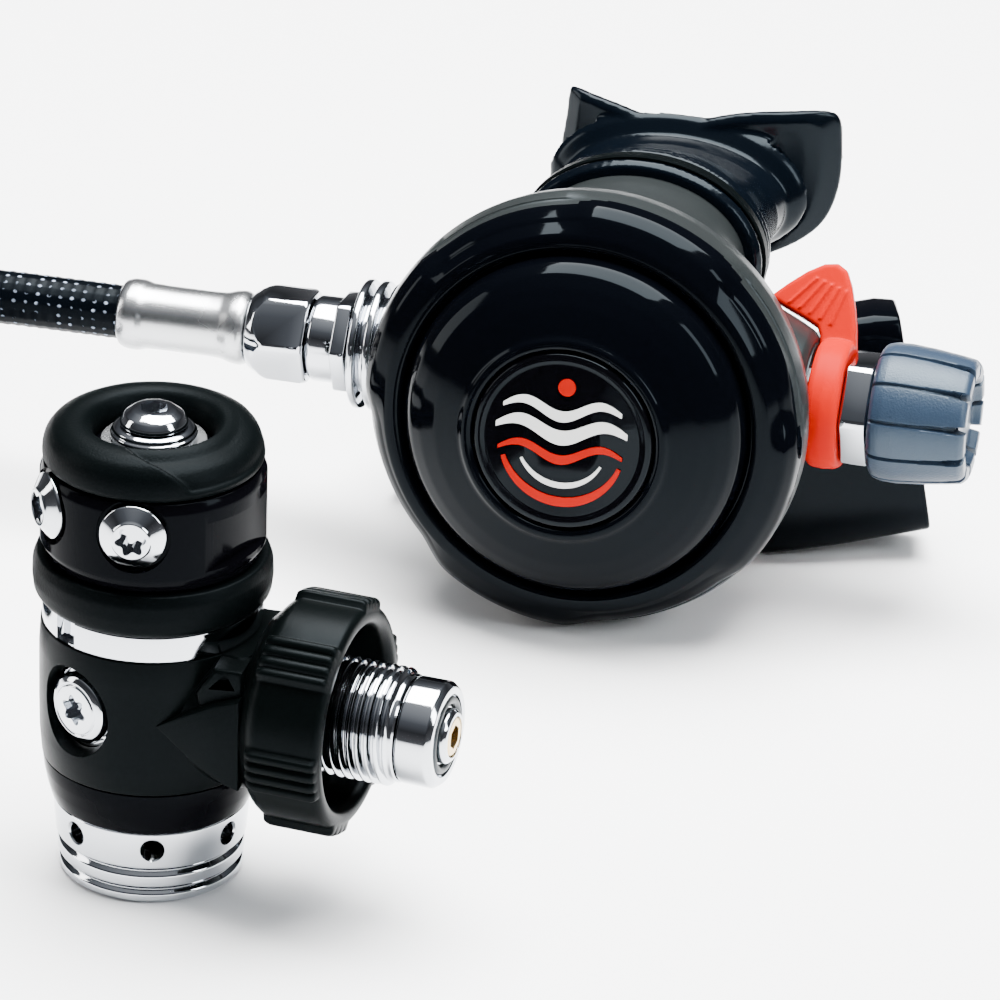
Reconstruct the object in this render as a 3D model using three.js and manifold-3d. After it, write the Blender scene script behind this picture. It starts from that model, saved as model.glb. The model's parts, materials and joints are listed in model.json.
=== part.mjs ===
// Scuba regulator set: a first stage with a swivelling turret and a DIN inlet, and a second stage
// on a braided low-pressure hose. Millimetres, +Z up, floor at Z = 0.
// The origin is the centre of the first stage's flat base.

import * as THREE from "three";
import { mergeVertices } from "three/addons/utils/BufferGeometryUtils.js";
import Module from "manifold-3d";

const wasm = await Module();
wasm.setup();

// ---------- Driving dimensions ----------

const GAP = 0.3; // clearance between neighbouring pieces
const FINE = 28; // facets round a large turned piece
const MEDIUM = 16;
const COARSE = 10; // facets round a small or hidden piece

// First stage: heights above the base, and radii about its upright axis.
const CAP_TOP = 15.8;
const BAND_TOP = 25.1;
const SLEEVE_TOP = 53.2;
const FLANGE_TOP = 58.5;
const BUMPER_TOP = 67.6;
const TURRET_TOP = 86;
const COVER_TOP = 93.5;
const CAP_RADIUS = 18.7;
const CORE_RADIUS = 18.2;
const SLEEVE_RADIUS = 21.5;
const FLANGE_RADIUS = 21;
const BUMPER_RADIUS = 22.8;
const TURRET_RADIUS = 21.3;
const COVER_RADIUS = 20.3;
const PISTON_RADIUS = 14.6;
const STEM_RADIUS = 4;
const CHAMBER_RADIUS = 11.6; // low-pressure chamber inside the turret

// Directions round the first stage, in degrees from the front (-Y), positive towards +X.
const DIN_TURN = 69;
const LOW_PRESSURE_TURNS = [-9, -67, -125, 177];
const HIGH_PRESSURE_TURNS = [-44, 180];
const FACET_TURN = 48;
const VENT_COUNT = 7;
const VENT_FIRST_TURN = 2;
const LOW_PRESSURE_HEIGHT = 79.5;
const HIGH_PRESSURE_HEIGHT = 40;
const DIN_HEIGHT = 39.4;
const PASSAGE_TURN = 120; // the channel that feeds the turret

// DIN inlet: distances from the first stage's axis.
const COLLAR_RADIUS = 17;
const WHEEL_RADIUS = 22.8;
const WHEEL_START = 24;
const WHEEL_END = 42;
const THREAD_RADIUS = 11.45; // G5/8
const THREAD_PITCH = 1.814;
const THREAD_END = 52.5;
const NOSE_RADIUS = 10.1;
const NOSE_END = 60;

// Second stage: the front ring's centre and how the housing is turned.
const SECOND_CENTRE = [84.8, 106.3, 46.5];
const SECOND_YAW = 15; // its right end comes nearer the front
const SECOND_TILT = 6.6; // its face leans back
const RING_RADIUS = 46;
const COVER_RIM_RADIUS = 35.6;
const BADGE_RADIUS = 18.8;
const CASE_RADIUS = 43;
const BARREL_DEPTH = 27; // the barrel's axis behind the ring's plane
const BARREL_RADIUS = 9;
const NOZZLE_RISE = 21;
const NOZZLE_END = 53;
const NOZZLE_HALF_WIDTH = 23;
const NOZZLE_HALF_HEIGHT = 17;
const EXHAUST_DROP = 24;
const EXHAUST_RADIUS = 13.5;
const TEE_HALF_WIDTH = 57;
const BARREL_START = -43.8; // the hose end of the barrel
const FERRULE_START = -106; // where the hose leaves its ferrule

// Hose: it leaves the ferrule along the barrel's axis, sinks to the floor and ends in a coil.
const HOSE_RADIUS = 5.8;

// ---------- Finishes ----------

const FINISHES = {
  chrome: { color: 0xd5d8dc, roughness: 0.12, metalness: 1 },
  brushed: { color: 0xb9bcc0, roughness: 0.35, metalness: 1 },
  brass: { color: 0xb98a3e, roughness: 0.35, metalness: 1 },
  steel: { color: 0x9a9c9f, roughness: 0.3, metalness: 1 },
  gloss: { color: 0x0a0a0b, roughness: 0.12, metalness: 0 },
  matte: { color: 0x1b1b1d, roughness: 0.55, metalness: 0 },
  rubber: { color: 0x141415, roughness: 0.7, metalness: 0 },
  silicone: { color: 0x2b2d30, roughness: 0.5, metalness: 0 },
  seal: { color: 0x101010, roughness: 0.5, metalness: 0 },
  red: { color: 0xe23412, roughness: 0.35, metalness: 0 },
  white: { color: 0xdedcd6, roughness: 0.5, metalness: 0 },
  braid: { color: 0x12131a, roughness: 0.45, metalness: 0 },
};

// ---------- Small tools ----------

const rad = THREE.MathUtils.degToRad;
const UP = new THREE.Vector3(0, 0, 1);

// A unit vector that points out of the first stage, turned from the front.
function outward(turn) {
  return new THREE.Vector3(Math.sin(rad(turn)), -Math.cos(rad(turn)), 0);
}

// The matrix that puts a shape built along +Z at a point, with its +Z along a direction.
function aimed(origin, direction) {
  const turn = new THREE.Quaternion().setFromUnitVectors(UP, direction.clone().normalize());
  return new THREE.Matrix4().compose(origin, turn, new THREE.Vector3(1, 1, 1));
}

function at(x, y, z) {
  return new THREE.Matrix4().makeTranslation(x, y, z);
}

// A closed mesh's geometry as a solid that can be cut and joined.
function solid(geometry, matrix = new THREE.Matrix4()) {
  const bare = geometry.clone().applyMatrix4(matrix);
  bare.deleteAttribute("normal");
  bare.deleteAttribute("uv");
  const merged = mergeVertices(bare, 1e-4);
  const index = merged.index.array;
  const whole = [];
  for (let i = 0; i < index.length; i += 3) {
    const [a, b, c] = [index[i], index[i + 1], index[i + 2]];
    if (a !== b && b !== c && c !== a) whole.push(a, b, c);
  }
  return new wasm.Manifold(
    new wasm.Mesh({
      numProp: 3,
      vertProperties: merged.attributes.position.array,
      triVerts: new Uint32Array(whole),
    }),
  );
}

function geometryOf(shape) {
  const mesh = shape.getMesh();
  const count = mesh.numProp;
  const places = new Float32Array(mesh.numVert * 3);
  for (let i = 0; i < mesh.numVert; i++) {
    places.set(mesh.vertProperties.subarray(i * count, i * count + 3), i * 3);
  }
  return new THREE.BufferGeometry()
    .setAttribute("position", new THREE.BufferAttribute(places, 3))
    .setIndex(new THREE.BufferAttribute(mesh.triVerts, 1));
}

// A turned solid about +Z. The profile is a list of [radius, height]; it closes on the axis
// or on itself, and may run either way round.
function turned(profile, facets = MEDIUM, matrix) {
  const points = profile.map(([r, z]) => new THREE.Vector2(r, z));
  const onAxis = profile[0][0] === 0 && profile.at(-1)[0] === 0;
  if (!onAxis) points.push(points[0].clone());
  if (THREE.ShapeUtils.area(points) < 0) points.reverse();
  const lathe = new THREE.LatheGeometry(points, facets).rotateX(Math.PI / 2);
  return solid(lathe, matrix);
}

function disc(radius, low, high, facets, matrix) {
  return turned([[0, low], [radius, low], [radius, high], [0, high]], facets, matrix);
}

function tube(outer, inner, low, high, facets, matrix) {
  return turned([[inner, low], [outer, low], [outer, high], [inner, high]], facets, matrix);
}

// A ring seal of round section.
function seal(radius, thickness, height, matrix) {
  const section = [];
  for (let i = 0; i < 6; i++) {
    const a = (i / 6) * 2 * Math.PI;
    section.push([radius + thickness * Math.cos(a), height + thickness * Math.sin(a)]);
  }
  return turned(section, MEDIUM, matrix);
}

function block(low, high, matrix) {
  const size = high.map((v, i) => v - low[i]);
  const middle = high.map((v, i) => (v + low[i]) / 2);
  const box = new THREE.BoxGeometry(...size).translate(...middle);
  return solid(box, matrix);
}

// An outline in the local XY plane, given depth along +Z from a height.
function slab(outline, low, high, matrix = new THREE.Matrix4()) {
  const shape = outline.isShape ? outline : new THREE.Shape(outline.map((p) => new THREE.Vector2(...p)));
  const geometry = new THREE.ExtrudeGeometry(shape, {
    depth: high - low,
    bevelEnabled: false,
    curveSegments: 8,
  });
  return solid(geometry.translate(0, 0, low), matrix);
}

function ellipseOutline(halfWidth, halfHeight, count = 20) {
  return Array.from({ length: count }, (_, i) => {
    const a = (i / count) * 2 * Math.PI;
    return [halfWidth * Math.cos(a), halfHeight * Math.sin(a)];
  });
}

function hexOutline(acrossFlats) {
  const corner = acrossFlats / Math.sqrt(3);
  return Array.from({ length: 6 }, (_, i) => {
    const a = rad(30 + 60 * i);
    return [corner * Math.cos(a), corner * Math.sin(a)];
  });
}

// A round bar swept along a curve.
function swept(curve, radius, sides, steps) {
  const section = new THREE.Shape(ellipseOutline(radius, radius, sides).map((p) => new THREE.Vector2(...p)));
  return new THREE.ExtrudeGeometry(section, { steps, bevelEnabled: false, extrudePath: curve });
}

class Helix extends THREE.Curve {
  constructor(radius, low, high, turns) {
    super();
    Object.assign(this, { radius, low, high, turns });
  }

  getPoint(t, target = new THREE.Vector3()) {
    const a = t * this.turns * 2 * Math.PI;
    const height = this.low + (this.high - this.low) * t;
    return target.set(this.radius * Math.cos(a), this.radius * Math.sin(a), height);
  }
}

function spring(radius, wire, low, high, turns, matrix = new THREE.Matrix4()) {
  const helix = new Helix(radius, low + wire, high - wire, turns);
  return solid(swept(helix, wire, 5, Math.round(turns * 8)), matrix);
}

function addPart(group, name, shape, finish) {
  const material = new THREE.MeshStandardMaterial(FINISHES[finish]);
  const mesh = new THREE.Mesh(geometryOf(shape), material);
  mesh.name = name;
  group.add(mesh);
}

const regulator = new THREE.Group();
const firstStage = new THREE.Group();
const secondStage = new THREE.Group();
regulator.add(firstStage, secondStage);

// ---------- First stage: lower end ----------

const SPIGOT_RADIUS = 16.5; // the end cap's threaded spigot inside the body
const SPIGOT_TOP = 23.5;
const PISTON_LOW = 4.2;
const PISTON_HIGH = 8.2;
const BODY_FLOOR = 23.9;
const STEM_TOP = 33;
const CROWN_LOW = 35.4;
const CROWN_HIGH = 38;
const HIGH_PRESSURE_CHAMBER_TOP = 47;

function endCap() {
  const profile = [
    [0, 0], [17.1, 0], [17.7, 0.6], [17.7, 2], [16.5, 2.9], [17.8, 3.9], [17.8, 6.1], [16.6, 7],
    [CAP_RADIUS, 8.2], [CAP_RADIUS, CAP_TOP - GAP], [SPIGOT_RADIUS, CAP_TOP - GAP],
    [SPIGOT_RADIUS, SPIGOT_TOP], [PISTON_RADIUS + GAP, SPIGOT_TOP], [PISTON_RADIUS + GAP, 3.2], [0, 3.2],
  ];
  let cap = turned(profile, FINE);
  for (let i = 0; i < VENT_COUNT; i++) {
    const way = outward(VENT_FIRST_TURN + (i * 360) / VENT_COUNT);
    const vent = disc(2.3, 12, CAP_RADIUS + 2, 12, aimed(new THREE.Vector3(0, 0, 12), way));
    cap = cap.subtract(vent);
  }
  return cap;
}

function piston() {
  const points = [
    [0, PISTON_LOW], [PISTON_RADIUS, PISTON_LOW], [PISTON_RADIUS, 5], [12.7, 5], [12.7, 7.2],
    [PISTON_RADIUS, 7.2], [PISTON_RADIUS, PISTON_HIGH], [STEM_RADIUS, PISTON_HIGH],
    [STEM_RADIUS, STEM_TOP], [0, STEM_TOP],
  ];
  const bore = disc(1.5, PISTON_LOW - 1, 30.5, COARSE);
  const cross = disc(1.1, -6, 6, 8, aimed(new THREE.Vector3(0, 0, 29.3), new THREE.Vector3(1, 0, 0)));
  return turned(points, MEDIUM).subtract(bore).subtract(cross);
}

function firstStageBody() {
  const skirt = SPIGOT_RADIUS + GAP;
  let body = turned([
    [0, BODY_FLOOR], [skirt, BODY_FLOOR], [skirt, CAP_TOP + GAP], [CORE_RADIUS, CAP_TOP + GAP],
    [CORE_RADIUS, SLEEVE_TOP + GAP], [FLANGE_RADIUS, SLEEVE_TOP + GAP], [FLANGE_RADIUS, FLANGE_TOP - GAP],
    [11.2, FLANGE_TOP - GAP], [11.2, 66], [9.5, 66], [9.5, 69], [11.2, 69], [11.2, 74], [0, 74],
  ], FINE);
  const cuts = [
    disc(STEM_RADIUS + GAP, BODY_FLOOR - 1, 28, MEDIUM),
    disc(6.5, 27, CROWN_LOW - GAP, MEDIUM),
    disc(5.3, CROWN_LOW - 1, HIGH_PRESSURE_CHAMBER_TOP, MEDIUM),
    disc(5.6, 60, 75, MEDIUM),
    disc(1.3, 30, 75, 10, at(...outward(PASSAGE_TURN).multiplyScalar(7.4).toArray())),
  ];
  const din = aimed(new THREE.Vector3(0, 0, DIN_HEIGHT + 2.6), outward(DIN_TURN));
  cuts.push(disc(2.6, 0, 12, 12, din));
  cuts.push(disc(8.5, 9.5, 20, MEDIUM, aimed(new THREE.Vector3(0, 0, DIN_HEIGHT), outward(DIN_TURN))));
  for (const turn of HIGH_PRESSURE_TURNS) {
    const way = aimed(new THREE.Vector3(0, 0, HIGH_PRESSURE_HEIGHT), outward(turn));
    cuts.push(disc(1.2, 0, 12, 8, way));
    cuts.push(disc(5.8, 10, 20, MEDIUM, way));
    cuts.push(disc(7.6, 17, 20, MEDIUM, way));
  }
  for (const cut of cuts) body = body.subtract(cut);
  return body;
}

function lowerBand() {
  return turned([
    [CORE_RADIUS + GAP, CAP_TOP + GAP], [19.4, CAP_TOP + GAP], [20.7, BAND_TOP - GAP],
    [CORE_RADIUS + GAP, BAND_TOP - GAP],
  ], FINE);
}

// The rubber sleeve, with the round collar and the pointed gusset that lead to the inlet.
function bodySleeve() {
  const low = BAND_TOP;
  const high = SLEEVE_TOP;
  const inletWay = outward(DIN_TURN);
  const inlet = aimed(new THREE.Vector3(0, 0, DIN_HEIGHT), inletWay);
  const shell = turned([
    [0, low], [21.1, low], [SLEEVE_RADIUS, low + 6], [SLEEVE_RADIUS, high - 3], [20.9, high], [0, high],
  ], FINE);
  const collar = disc(COLLAR_RADIUS, 8, WHEEL_START - GAP, FINE, inlet);
  const side = new THREE.Vector3().crossVectors(UP, inletWay);
  const gussetFrame = new THREE.Matrix4().makeBasis(inletWay, side, UP);
  const tip = WHEEL_START - 2;
  const plan = [[2, -19], [12, -21.2], [tip, -15.5], [tip, 15.5], [12, 21.2], [2, 19]];
  const gusset = slab(plan, DIN_HEIGHT - 4, DIN_HEIGHT + 4, gussetFrame);
  let sleeve = shell.add(collar).add(gusset);
  sleeve = sleeve.subtract(disc(30, SLEEVE_TOP, SLEEVE_TOP + 12, COARSE));
  sleeve = sleeve.subtract(disc(30, 15, BAND_TOP, COARSE));
  sleeve = sleeve.subtract(disc(CORE_RADIUS + GAP, 20, 60, FINE));
  sleeve = sleeve.subtract(disc(8.5, 10, 30, MEDIUM, inlet));
  for (const turn of HIGH_PRESSURE_TURNS) {
    const way = aimed(new THREE.Vector3(0, 0, HIGH_PRESSURE_HEIGHT), outward(turn));
    sleeve = sleeve.subtract(disc(8.6, 12, 26, MEDIUM, way));
  }
  return sleeve;
}

addPart(firstStage, "end_cap", endCap(), "chrome");
addPart(firstStage, "piston", piston(), "steel");
addPart(firstStage, "piston_o_ring", seal(13.7, 0.8, 6.1), "seal");
addPart(firstStage, "piston_seat", disc(2.8, STEM_TOP + GAP, STEM_TOP + 1.1, COARSE), "white");
addPart(firstStage, "main_spring", spring(9.4, 1.3, PISTON_HIGH + 0.1, BODY_FLOOR - 0.1, 4.5), "steel");
addPart(firstStage, "orifice_crown", tube(5, 1.2, CROWN_LOW, CROWN_HIGH, COARSE), "brass");
addPart(firstStage, "first_stage_body", firstStageBody(), "chrome");
addPart(firstStage, "lower_band", lowerBand(), "gloss");
addPart(firstStage, "body_sleeve", bodySleeve(), "matte");

// ---------- First stage: turret ----------

function turret() {
  const shoulder = BUMPER_TOP + GAP;
  let shell = turned([
    [19, FLANGE_TOP + GAP], [19, shoulder], [21, shoulder], [TURRET_RADIUS, shoulder + 2],
    [TURRET_RADIUS, TURRET_TOP - 1.5], [20, TURRET_TOP], [12.2, TURRET_TOP], [12.2, 88.2], [5.7, 88.2],
    [5.7, 84], [CHAMBER_RADIUS, 84], [CHAMBER_RADIUS, FLANGE_TOP + GAP],
  ], FINE);
  for (const turn of LOW_PRESSURE_TURNS) {
    const way = aimed(new THREE.Vector3(0, 0, LOW_PRESSURE_HEIGHT), outward(turn));
    shell = shell.subtract(disc(5, 10, 24, COARSE, way));
    shell = shell.subtract(disc(7.2, 20, 24, MEDIUM, way));
  }
  const facet = aimed(new THREE.Vector3(0, 0, LOW_PRESSURE_HEIGHT), outward(FACET_TURN));
  return shell.subtract(block([-7, -12, 20.4], [7, 12, 26], facet));
}

function turretCover() {
  return turned([
    [12.6, TURRET_TOP + GAP], [COVER_RADIUS - 0.8, TURRET_TOP + GAP], [COVER_RADIUS, 87.5], [19.6, 90.5],
    [16.8, 92.8], [13.8, COVER_TOP], [12.3, 93.2], [11.4, 91.8], [11.4, 88.7],
    [12.6, 88.7],
  ], FINE);
}

function portPlug(headRadius, shankRadius, seat, headHeight, reach, hexFlats, way) {
  const plug = turned([
    [0, seat - reach], [shankRadius, seat - reach], [shankRadius, seat], [headRadius, seat],
    [headRadius, seat + headHeight - 1.2], [headRadius - 1.6, seat + headHeight],
    [0, seat + headHeight],
  ], COARSE + 2, way);
  const socket = slab(hexOutline(hexFlats), seat + headHeight - 2.6, seat + headHeight + 1, way);
  return plug.subtract(socket);
}

function turretBolt() {
  const bolt = turned([
    [0, 62], [5.2, 62], [5.2, 90.4], [8, 90.4], [8, 92], [6.9, 92.8], [0, 92.8],
  ], MEDIUM);
  const gasWay = disc(2.2, 60, 89, 10);
  const crossWay = disc(1.8, -8, 8, 8, aimed(new THREE.Vector3(0, 0, 79), new THREE.Vector3(1, 0, 0)));
  const plugSeat = disc(4.4, 86, 94, COARSE);
  return bolt.subtract(gasWay).subtract(crossWay).subtract(plugSeat);
}

addPart(firstStage, "turret", turret(), "gloss");
addPart(firstStage, "turret_bumper", turned([
  [19.3, FLANGE_TOP + GAP], [21.8, FLANGE_TOP + GAP], [BUMPER_RADIUS - 0.2, 60.2], [BUMPER_RADIUS, 63],
  [22.6, 66], [21.7, BUMPER_TOP], [19.3, BUMPER_TOP],
], FINE), "rubber");
addPart(firstStage, "turret_cover", turretCover(), "rubber");
addPart(firstStage, "turret_o_ring", seal(10.5, 0.7, 67.5), "seal");
addPart(firstStage, "turret_washer", tube(10, 5.6, 88.5, 90.1, MEDIUM), "brushed");
addPart(firstStage, "turret_bolt", turretBolt(), "chrome");
addPart(firstStage, "end_port_plug", turned([
  [0, 87], [4.1, 87], [4.1, 93.1], [6.3, 93.1], [6.2, 94.3], [4.9, 95.5], [2.8, 95.9], [0, 95.9],
], MEDIUM).subtract(slab(hexOutline(5), 93.4, 97)), "chrome");
LOW_PRESSURE_TURNS.forEach((turn, i) => {
  const way = aimed(new THREE.Vector3(0, 0, LOW_PRESSURE_HEIGHT), outward(turn));
  addPart(firstStage, `low_pressure_plug_${i + 1}`, portPlug(6.4, 4.7, 20.3, 2.9, 7, 5, way), "chrome");
});
HIGH_PRESSURE_TURNS.forEach((turn, i) => {
  const way = aimed(new THREE.Vector3(0, 0, HIGH_PRESSURE_HEIGHT), outward(turn));
  addPart(firstStage, `high_pressure_plug_${i + 1}`, portPlug(7, 5.5, 17.3, 3.6, 6.5, 5, way), "chrome");
});

// ---------- First stage: DIN inlet, built along its own axis ----------

const inlet = aimed(new THREE.Vector3(0, 0, DIN_HEIGHT), outward(DIN_TURN));
const WHEEL_FLOOR = 31;
const PAD_COUNT = 6; // grip pads round the handwheel
const PAD_FIRST = 138;
const HOLLOW_RADIUS = WHEEL_RADIUS - 1.3; // between the pads
// One pad and the hollow before it: degrees from the pad's middle, distance from the axis.
const PAD_OUTLINE = [
  [-30, HOLLOW_RADIUS], [-12.5, HOLLOW_RADIUS], [-10, WHEEL_RADIUS], [0, WHEEL_RADIUS], [10, WHEEL_RADIUS],
  [12.5, HOLLOW_RADIUS],
];
const CAVITY_RADIUS = 17.5;
const NOSE_TUBE_RADIUS = 8.2;

function dinWheel() {
  const outline = [];
  for (let i = 0; i < PAD_COUNT; i++) {
    const middle = PAD_FIRST + (i * 360) / PAD_COUNT;
    for (const [off, r] of PAD_OUTLINE) {
      outline.push([r * Math.cos(rad(middle + off)), r * Math.sin(rad(middle + off))]);
    }
  }
  const grip = slab(outline, 27, WHEEL_END, inlet);
  const neck = turned([[0, WHEEL_START], [17.6, WHEEL_START], [20.5, 27.5], [0, 27.5]], FINE, inlet);
  const cavity = disc(CAVITY_RADIUS, WHEEL_FLOOR, WHEEL_END + 1, FINE, inlet);
  const bore = disc(NOSE_TUBE_RADIUS + GAP, WHEEL_START - 1, WHEEL_FLOOR + 1, MEDIUM, inlet);
  return grip.add(neck).subtract(cavity).subtract(bore);
}

function dinThread() {
  const bore = NOSE_TUBE_RADIUS + GAP;
  const start = WHEEL_FLOOR + GAP;
  const profile = [[bore, start], [15.8, start], [15.8, start + 2.4], [10.6, start + 3.2]];
  const crests = 9;
  for (let i = crests; i > 0; i--) {
    const crest = THREAD_END - 0.6 - (i - 0.5) * THREAD_PITCH;
    profile.push([10.4, crest - THREAD_PITCH / 2], [THREAD_RADIUS, crest]);
  }
  profile.push([10.4, THREAD_END - 0.6], [10.2, THREAD_END], [bore, THREAD_END]);
  return turned(profile, MEDIUM, inlet);
}

function dinNose() {
  const nose = turned([
    [0, 10], [NOSE_TUBE_RADIUS, 10], [NOSE_TUBE_RADIUS, THREAD_END + GAP], [NOSE_RADIUS, THREAD_END + GAP],
    [NOSE_RADIUS, NOSE_END - 1], [NOSE_RADIUS - 1, NOSE_END], [7.9, NOSE_END], [7.9, NOSE_END - 1.8],
    [5.6, NOSE_END - 1.8], [5.6, NOSE_END - 0.4], [0, NOSE_END - 0.4],
  ], MEDIUM, inlet);
  const gasWay = disc(3.2, 8, 42, COARSE, inlet);
  const filterSeat = disc(4.2, 40, NOSE_END + 1, MEDIUM, inlet);
  return nose.subtract(gasWay).subtract(filterSeat);
}

addPart(firstStage, "din_nose", dinNose(), "chrome");
addPart(firstStage, "din_thread", dinThread(), "chrome");
addPart(firstStage, "din_wheel", dinWheel(), "matte");
addPart(firstStage, "din_o_ring", seal(6.75, 0.85, NOSE_END - 0.7, inlet), "seal");
addPart(firstStage, "inlet_filter", turned([
  [0, 40.4], [2.2, 40.4], [3.8, 53.5], [0, 53.5],
], COARSE, inlet), "brass");
addPart(firstStage, "filter_retainer", tube(3.9, 2.6, 53.9, NOSE_END - 0.6, COARSE, inlet), "brass");

// ---------- Second stage: its own frame, X along the barrel, Y backwards, Z up ----------

secondStage.matrixAutoUpdate = false;
secondStage.matrix = at(...SECOND_CENTRE)
  .multiply(new THREE.Matrix4().makeRotationZ(rad(-SECOND_YAW)))
  .multiply(new THREE.Matrix4().makeRotationX(rad(-SECOND_TILT)));

const BACK = new THREE.Vector3(0, 1, 0);
const RIGHT = new THREE.Vector3(1, 0, 0);
const backwards = aimed(new THREE.Vector3(), BACK);
const along = aimed(new THREE.Vector3(0, BARREL_DEPTH, 0), RIGHT);
// Plan view: the slab's X and Y are the local X and Y. Side view along X: the slab's X is Y, its Y is Z.
const sideOn = new THREE.Matrix4().makeBasis(BACK, UP, RIGHT);
const facing = (rise) => new THREE.Matrix4()
  .makeBasis(RIGHT, new THREE.Vector3(0, 0, -1), BACK)
  .premultiply(at(0, 0, rise));

// The nozzle's oval section, grown or shrunk all round.
function nozzleOutline(grow) {
  return ellipseOutline(NOZZLE_HALF_WIDTH + grow, NOZZLE_HALF_HEIGHT + grow);
}

function frontRing() {
  return turned([
    [36.6, -7], [38.4, -7.4], [44.3, -4], [RING_RADIUS, -0.5], [RING_RADIUS, 6], [44.4, 12],
    [CASE_RADIUS + GAP, 12], [CASE_RADIUS + GAP, 0.7], [39.6, 0.7], [39.6, -4.6], [36.6, -4.6],
  ], FINE, backwards);
}

function caseShell() {
  const outer = turned([
    [0, 37], [20, 37], [31, 30], [38, 22], [CASE_RADIUS, 13], [CASE_RADIUS, 1], [0, 1],
  ], FINE, backwards);
  const inner = turned([
    [0, 35], [19, 35], [29.2, 28.6], [36, 20.8], [38, 13], [38, 3.6], [41, 3.6], [41, 0], [0, 0],
  ], FINE, backwards);
  const nozzleFrame = facing(NOZZLE_RISE);
  const nozzle = slab(nozzleOutline(0), 16, NOZZLE_END, nozzleFrame);
  const nozzleBore = slab(nozzleOutline(-2.2), 12, NOZZLE_END + 1, nozzleFrame);
  const tunnel = disc(BARREL_RADIUS + 3.2, BARREL_START + GAP, 42.6, MEDIUM, along)
    .subtract(block([-60, 0, -30], [60, 14.6, 30]))
    .subtract(block([-24, 0, 0], [24, 60, 30]));
  const tunnelBore = disc(BARREL_RADIUS + GAP, -50, 45, MEDIUM, along);
  const boss = aimed(new THREE.Vector3(0, 0, -EXHAUST_DROP), BACK);
  const exhaust = disc(EXHAUST_RADIUS, 22, 38.5, MEDIUM, boss);
  const exhaustBore = disc(EXHAUST_RADIUS - 2, 18, 40, MEDIUM, boss);
  const leverWindow = block([-26, 8, -7], [8, 20, 7]);
  let shell = outer.add(nozzle).add(exhaust);
  shell = shell.subtract(inner).subtract(nozzleBore).subtract(exhaustBore);
  shell = shell.add(tunnel);
  return shell.subtract(tunnelBore).subtract(leverWindow);
}

addPart(secondStage, "front_ring", frontRing(), "gloss");
addPart(secondStage, "second_stage_case", caseShell(), "matte");

addPart(secondStage, "purge_cover", turned([
  [0, -16.4], [19.2, -16.4], [19.2, -17.6], [23, -17.2], [30, -13.2], [34.5, -9.5],
  [COVER_RIM_RADIUS, -7.4], [COVER_RIM_RADIUS, -4.2], [38.6, -4.2], [38.6, -2.6], [34, -2.6],
  [33.2, -7.4], [28.6, -11.8], [22, -14.9], [4, -14.9], [4, -1.2], [0, -1.2],
], FINE, backwards), "gloss");
addPart(secondStage, "purge_badge", turned([
  [0, -16.7], [BADGE_RADIUS, -16.7], [BADGE_RADIUS, -18.2], [17.4, -18.8], [16.4, -18.2], [0, -18.2],
], FINE, backwards), "gloss");
addPart(secondStage, "purge_spring", spring(9, 0.6, -14.6, 1.8, 3, backwards), "steel");
addPart(secondStage, "diaphragm", turned([
  [20.6, 2.2], [24, 2.2], [28, 3.2], [32, 2.2], [40.6, 1.8], [40.6, 3.1], [32, 3.3], [28, 4.3], [24, 3.3],
  [20.6, 3.3],
], MEDIUM, backwards), "silicone");
addPart(secondStage, "diaphragm_plate", disc(20, 2, 3.2, MEDIUM, backwards), "steel");

// ---------- Second stage: demand valve inside the barrel ----------

const BARREL_BORE = 6.6;
const LEVER_PIVOT_DEPTH = 17.2;
const LEVER_REACH = 17;

function barrel() {
  const airHole = disc(4, 0, 20, COARSE, aimed(new THREE.Vector3(22, BARREL_DEPTH, 0), UP));
  return tube(BARREL_RADIUS, BARREL_BORE, BARREL_START, 50, MEDIUM, along)
    .subtract(block([-9, 10, -5], [3, 24.5, 5]))
    .subtract(airHole);
}

addPart(secondStage, "barrel", barrel(), "chrome");
addPart(secondStage, "demand_lever", slab([
  [-LEVER_REACH - 1, 4.2], [-LEVER_REACH + 2, 4.2], [-4, LEVER_PIVOT_DEPTH - 2.2],
  [1, LEVER_PIVOT_DEPTH - 1.4], [1, 22.6], [-0.5, 22.6], [-0.5, LEVER_PIVOT_DEPTH + 0.6],
  [-4.4, LEVER_PIVOT_DEPTH - 0.8], [-LEVER_REACH + 1, 5.6], [-LEVER_REACH - 1, 5.6],
], -3, 3), "steel");
addPart(secondStage, "valve_orifice", tube(4.4, 2.2, -30, -24.3, COARSE, along), "steel");
addPart(secondStage, "poppet_seat", disc(3.6, -24, -22.8, COARSE, along), "white");
addPart(secondStage, "poppet", turned([
  [0, -22.5], [5, -22.5], [5, -14], [2.2, -14], [2.2, 2.4], [6.1, 2.4], [6.1, 4], [1.8, 4],
  [1.8, 14], [0, 14],
], COARSE, along), "white");
addPart(secondStage, "poppet_spring", spring(4.2, 0.6, 4.1, 21.8, 6, along), "steel");
addPart(secondStage, "adjuster_spindle", turned([
  [0, 22], [6.2, 22], [6.2, 28], [3, 28], [3, 66], [0, 66],
], COARSE, along), "brass");

// The lever turns the vane inside the case, which steers the flow in the nozzle.
const LEVER_START = 43.2;
const LEVER_END = 49.8;
// The tab in the plane of the barrel's axis: distance along the barrel, distance out from its axis.
const TAB_OUTLINE = [
  [43.3, 9], [49.7, 9], [49.5, 15], [48.2, 20], [46.4, 24.6], [43.4, 27.4], [41, 26.9],
  [36.4, 23.8], [32.6, 20.2], [33.2, 19.2], [41.4, 14.8], [43.3, 13],
];
const TAB_TURN = 28; // the tab's direction, from straight up towards the back

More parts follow.
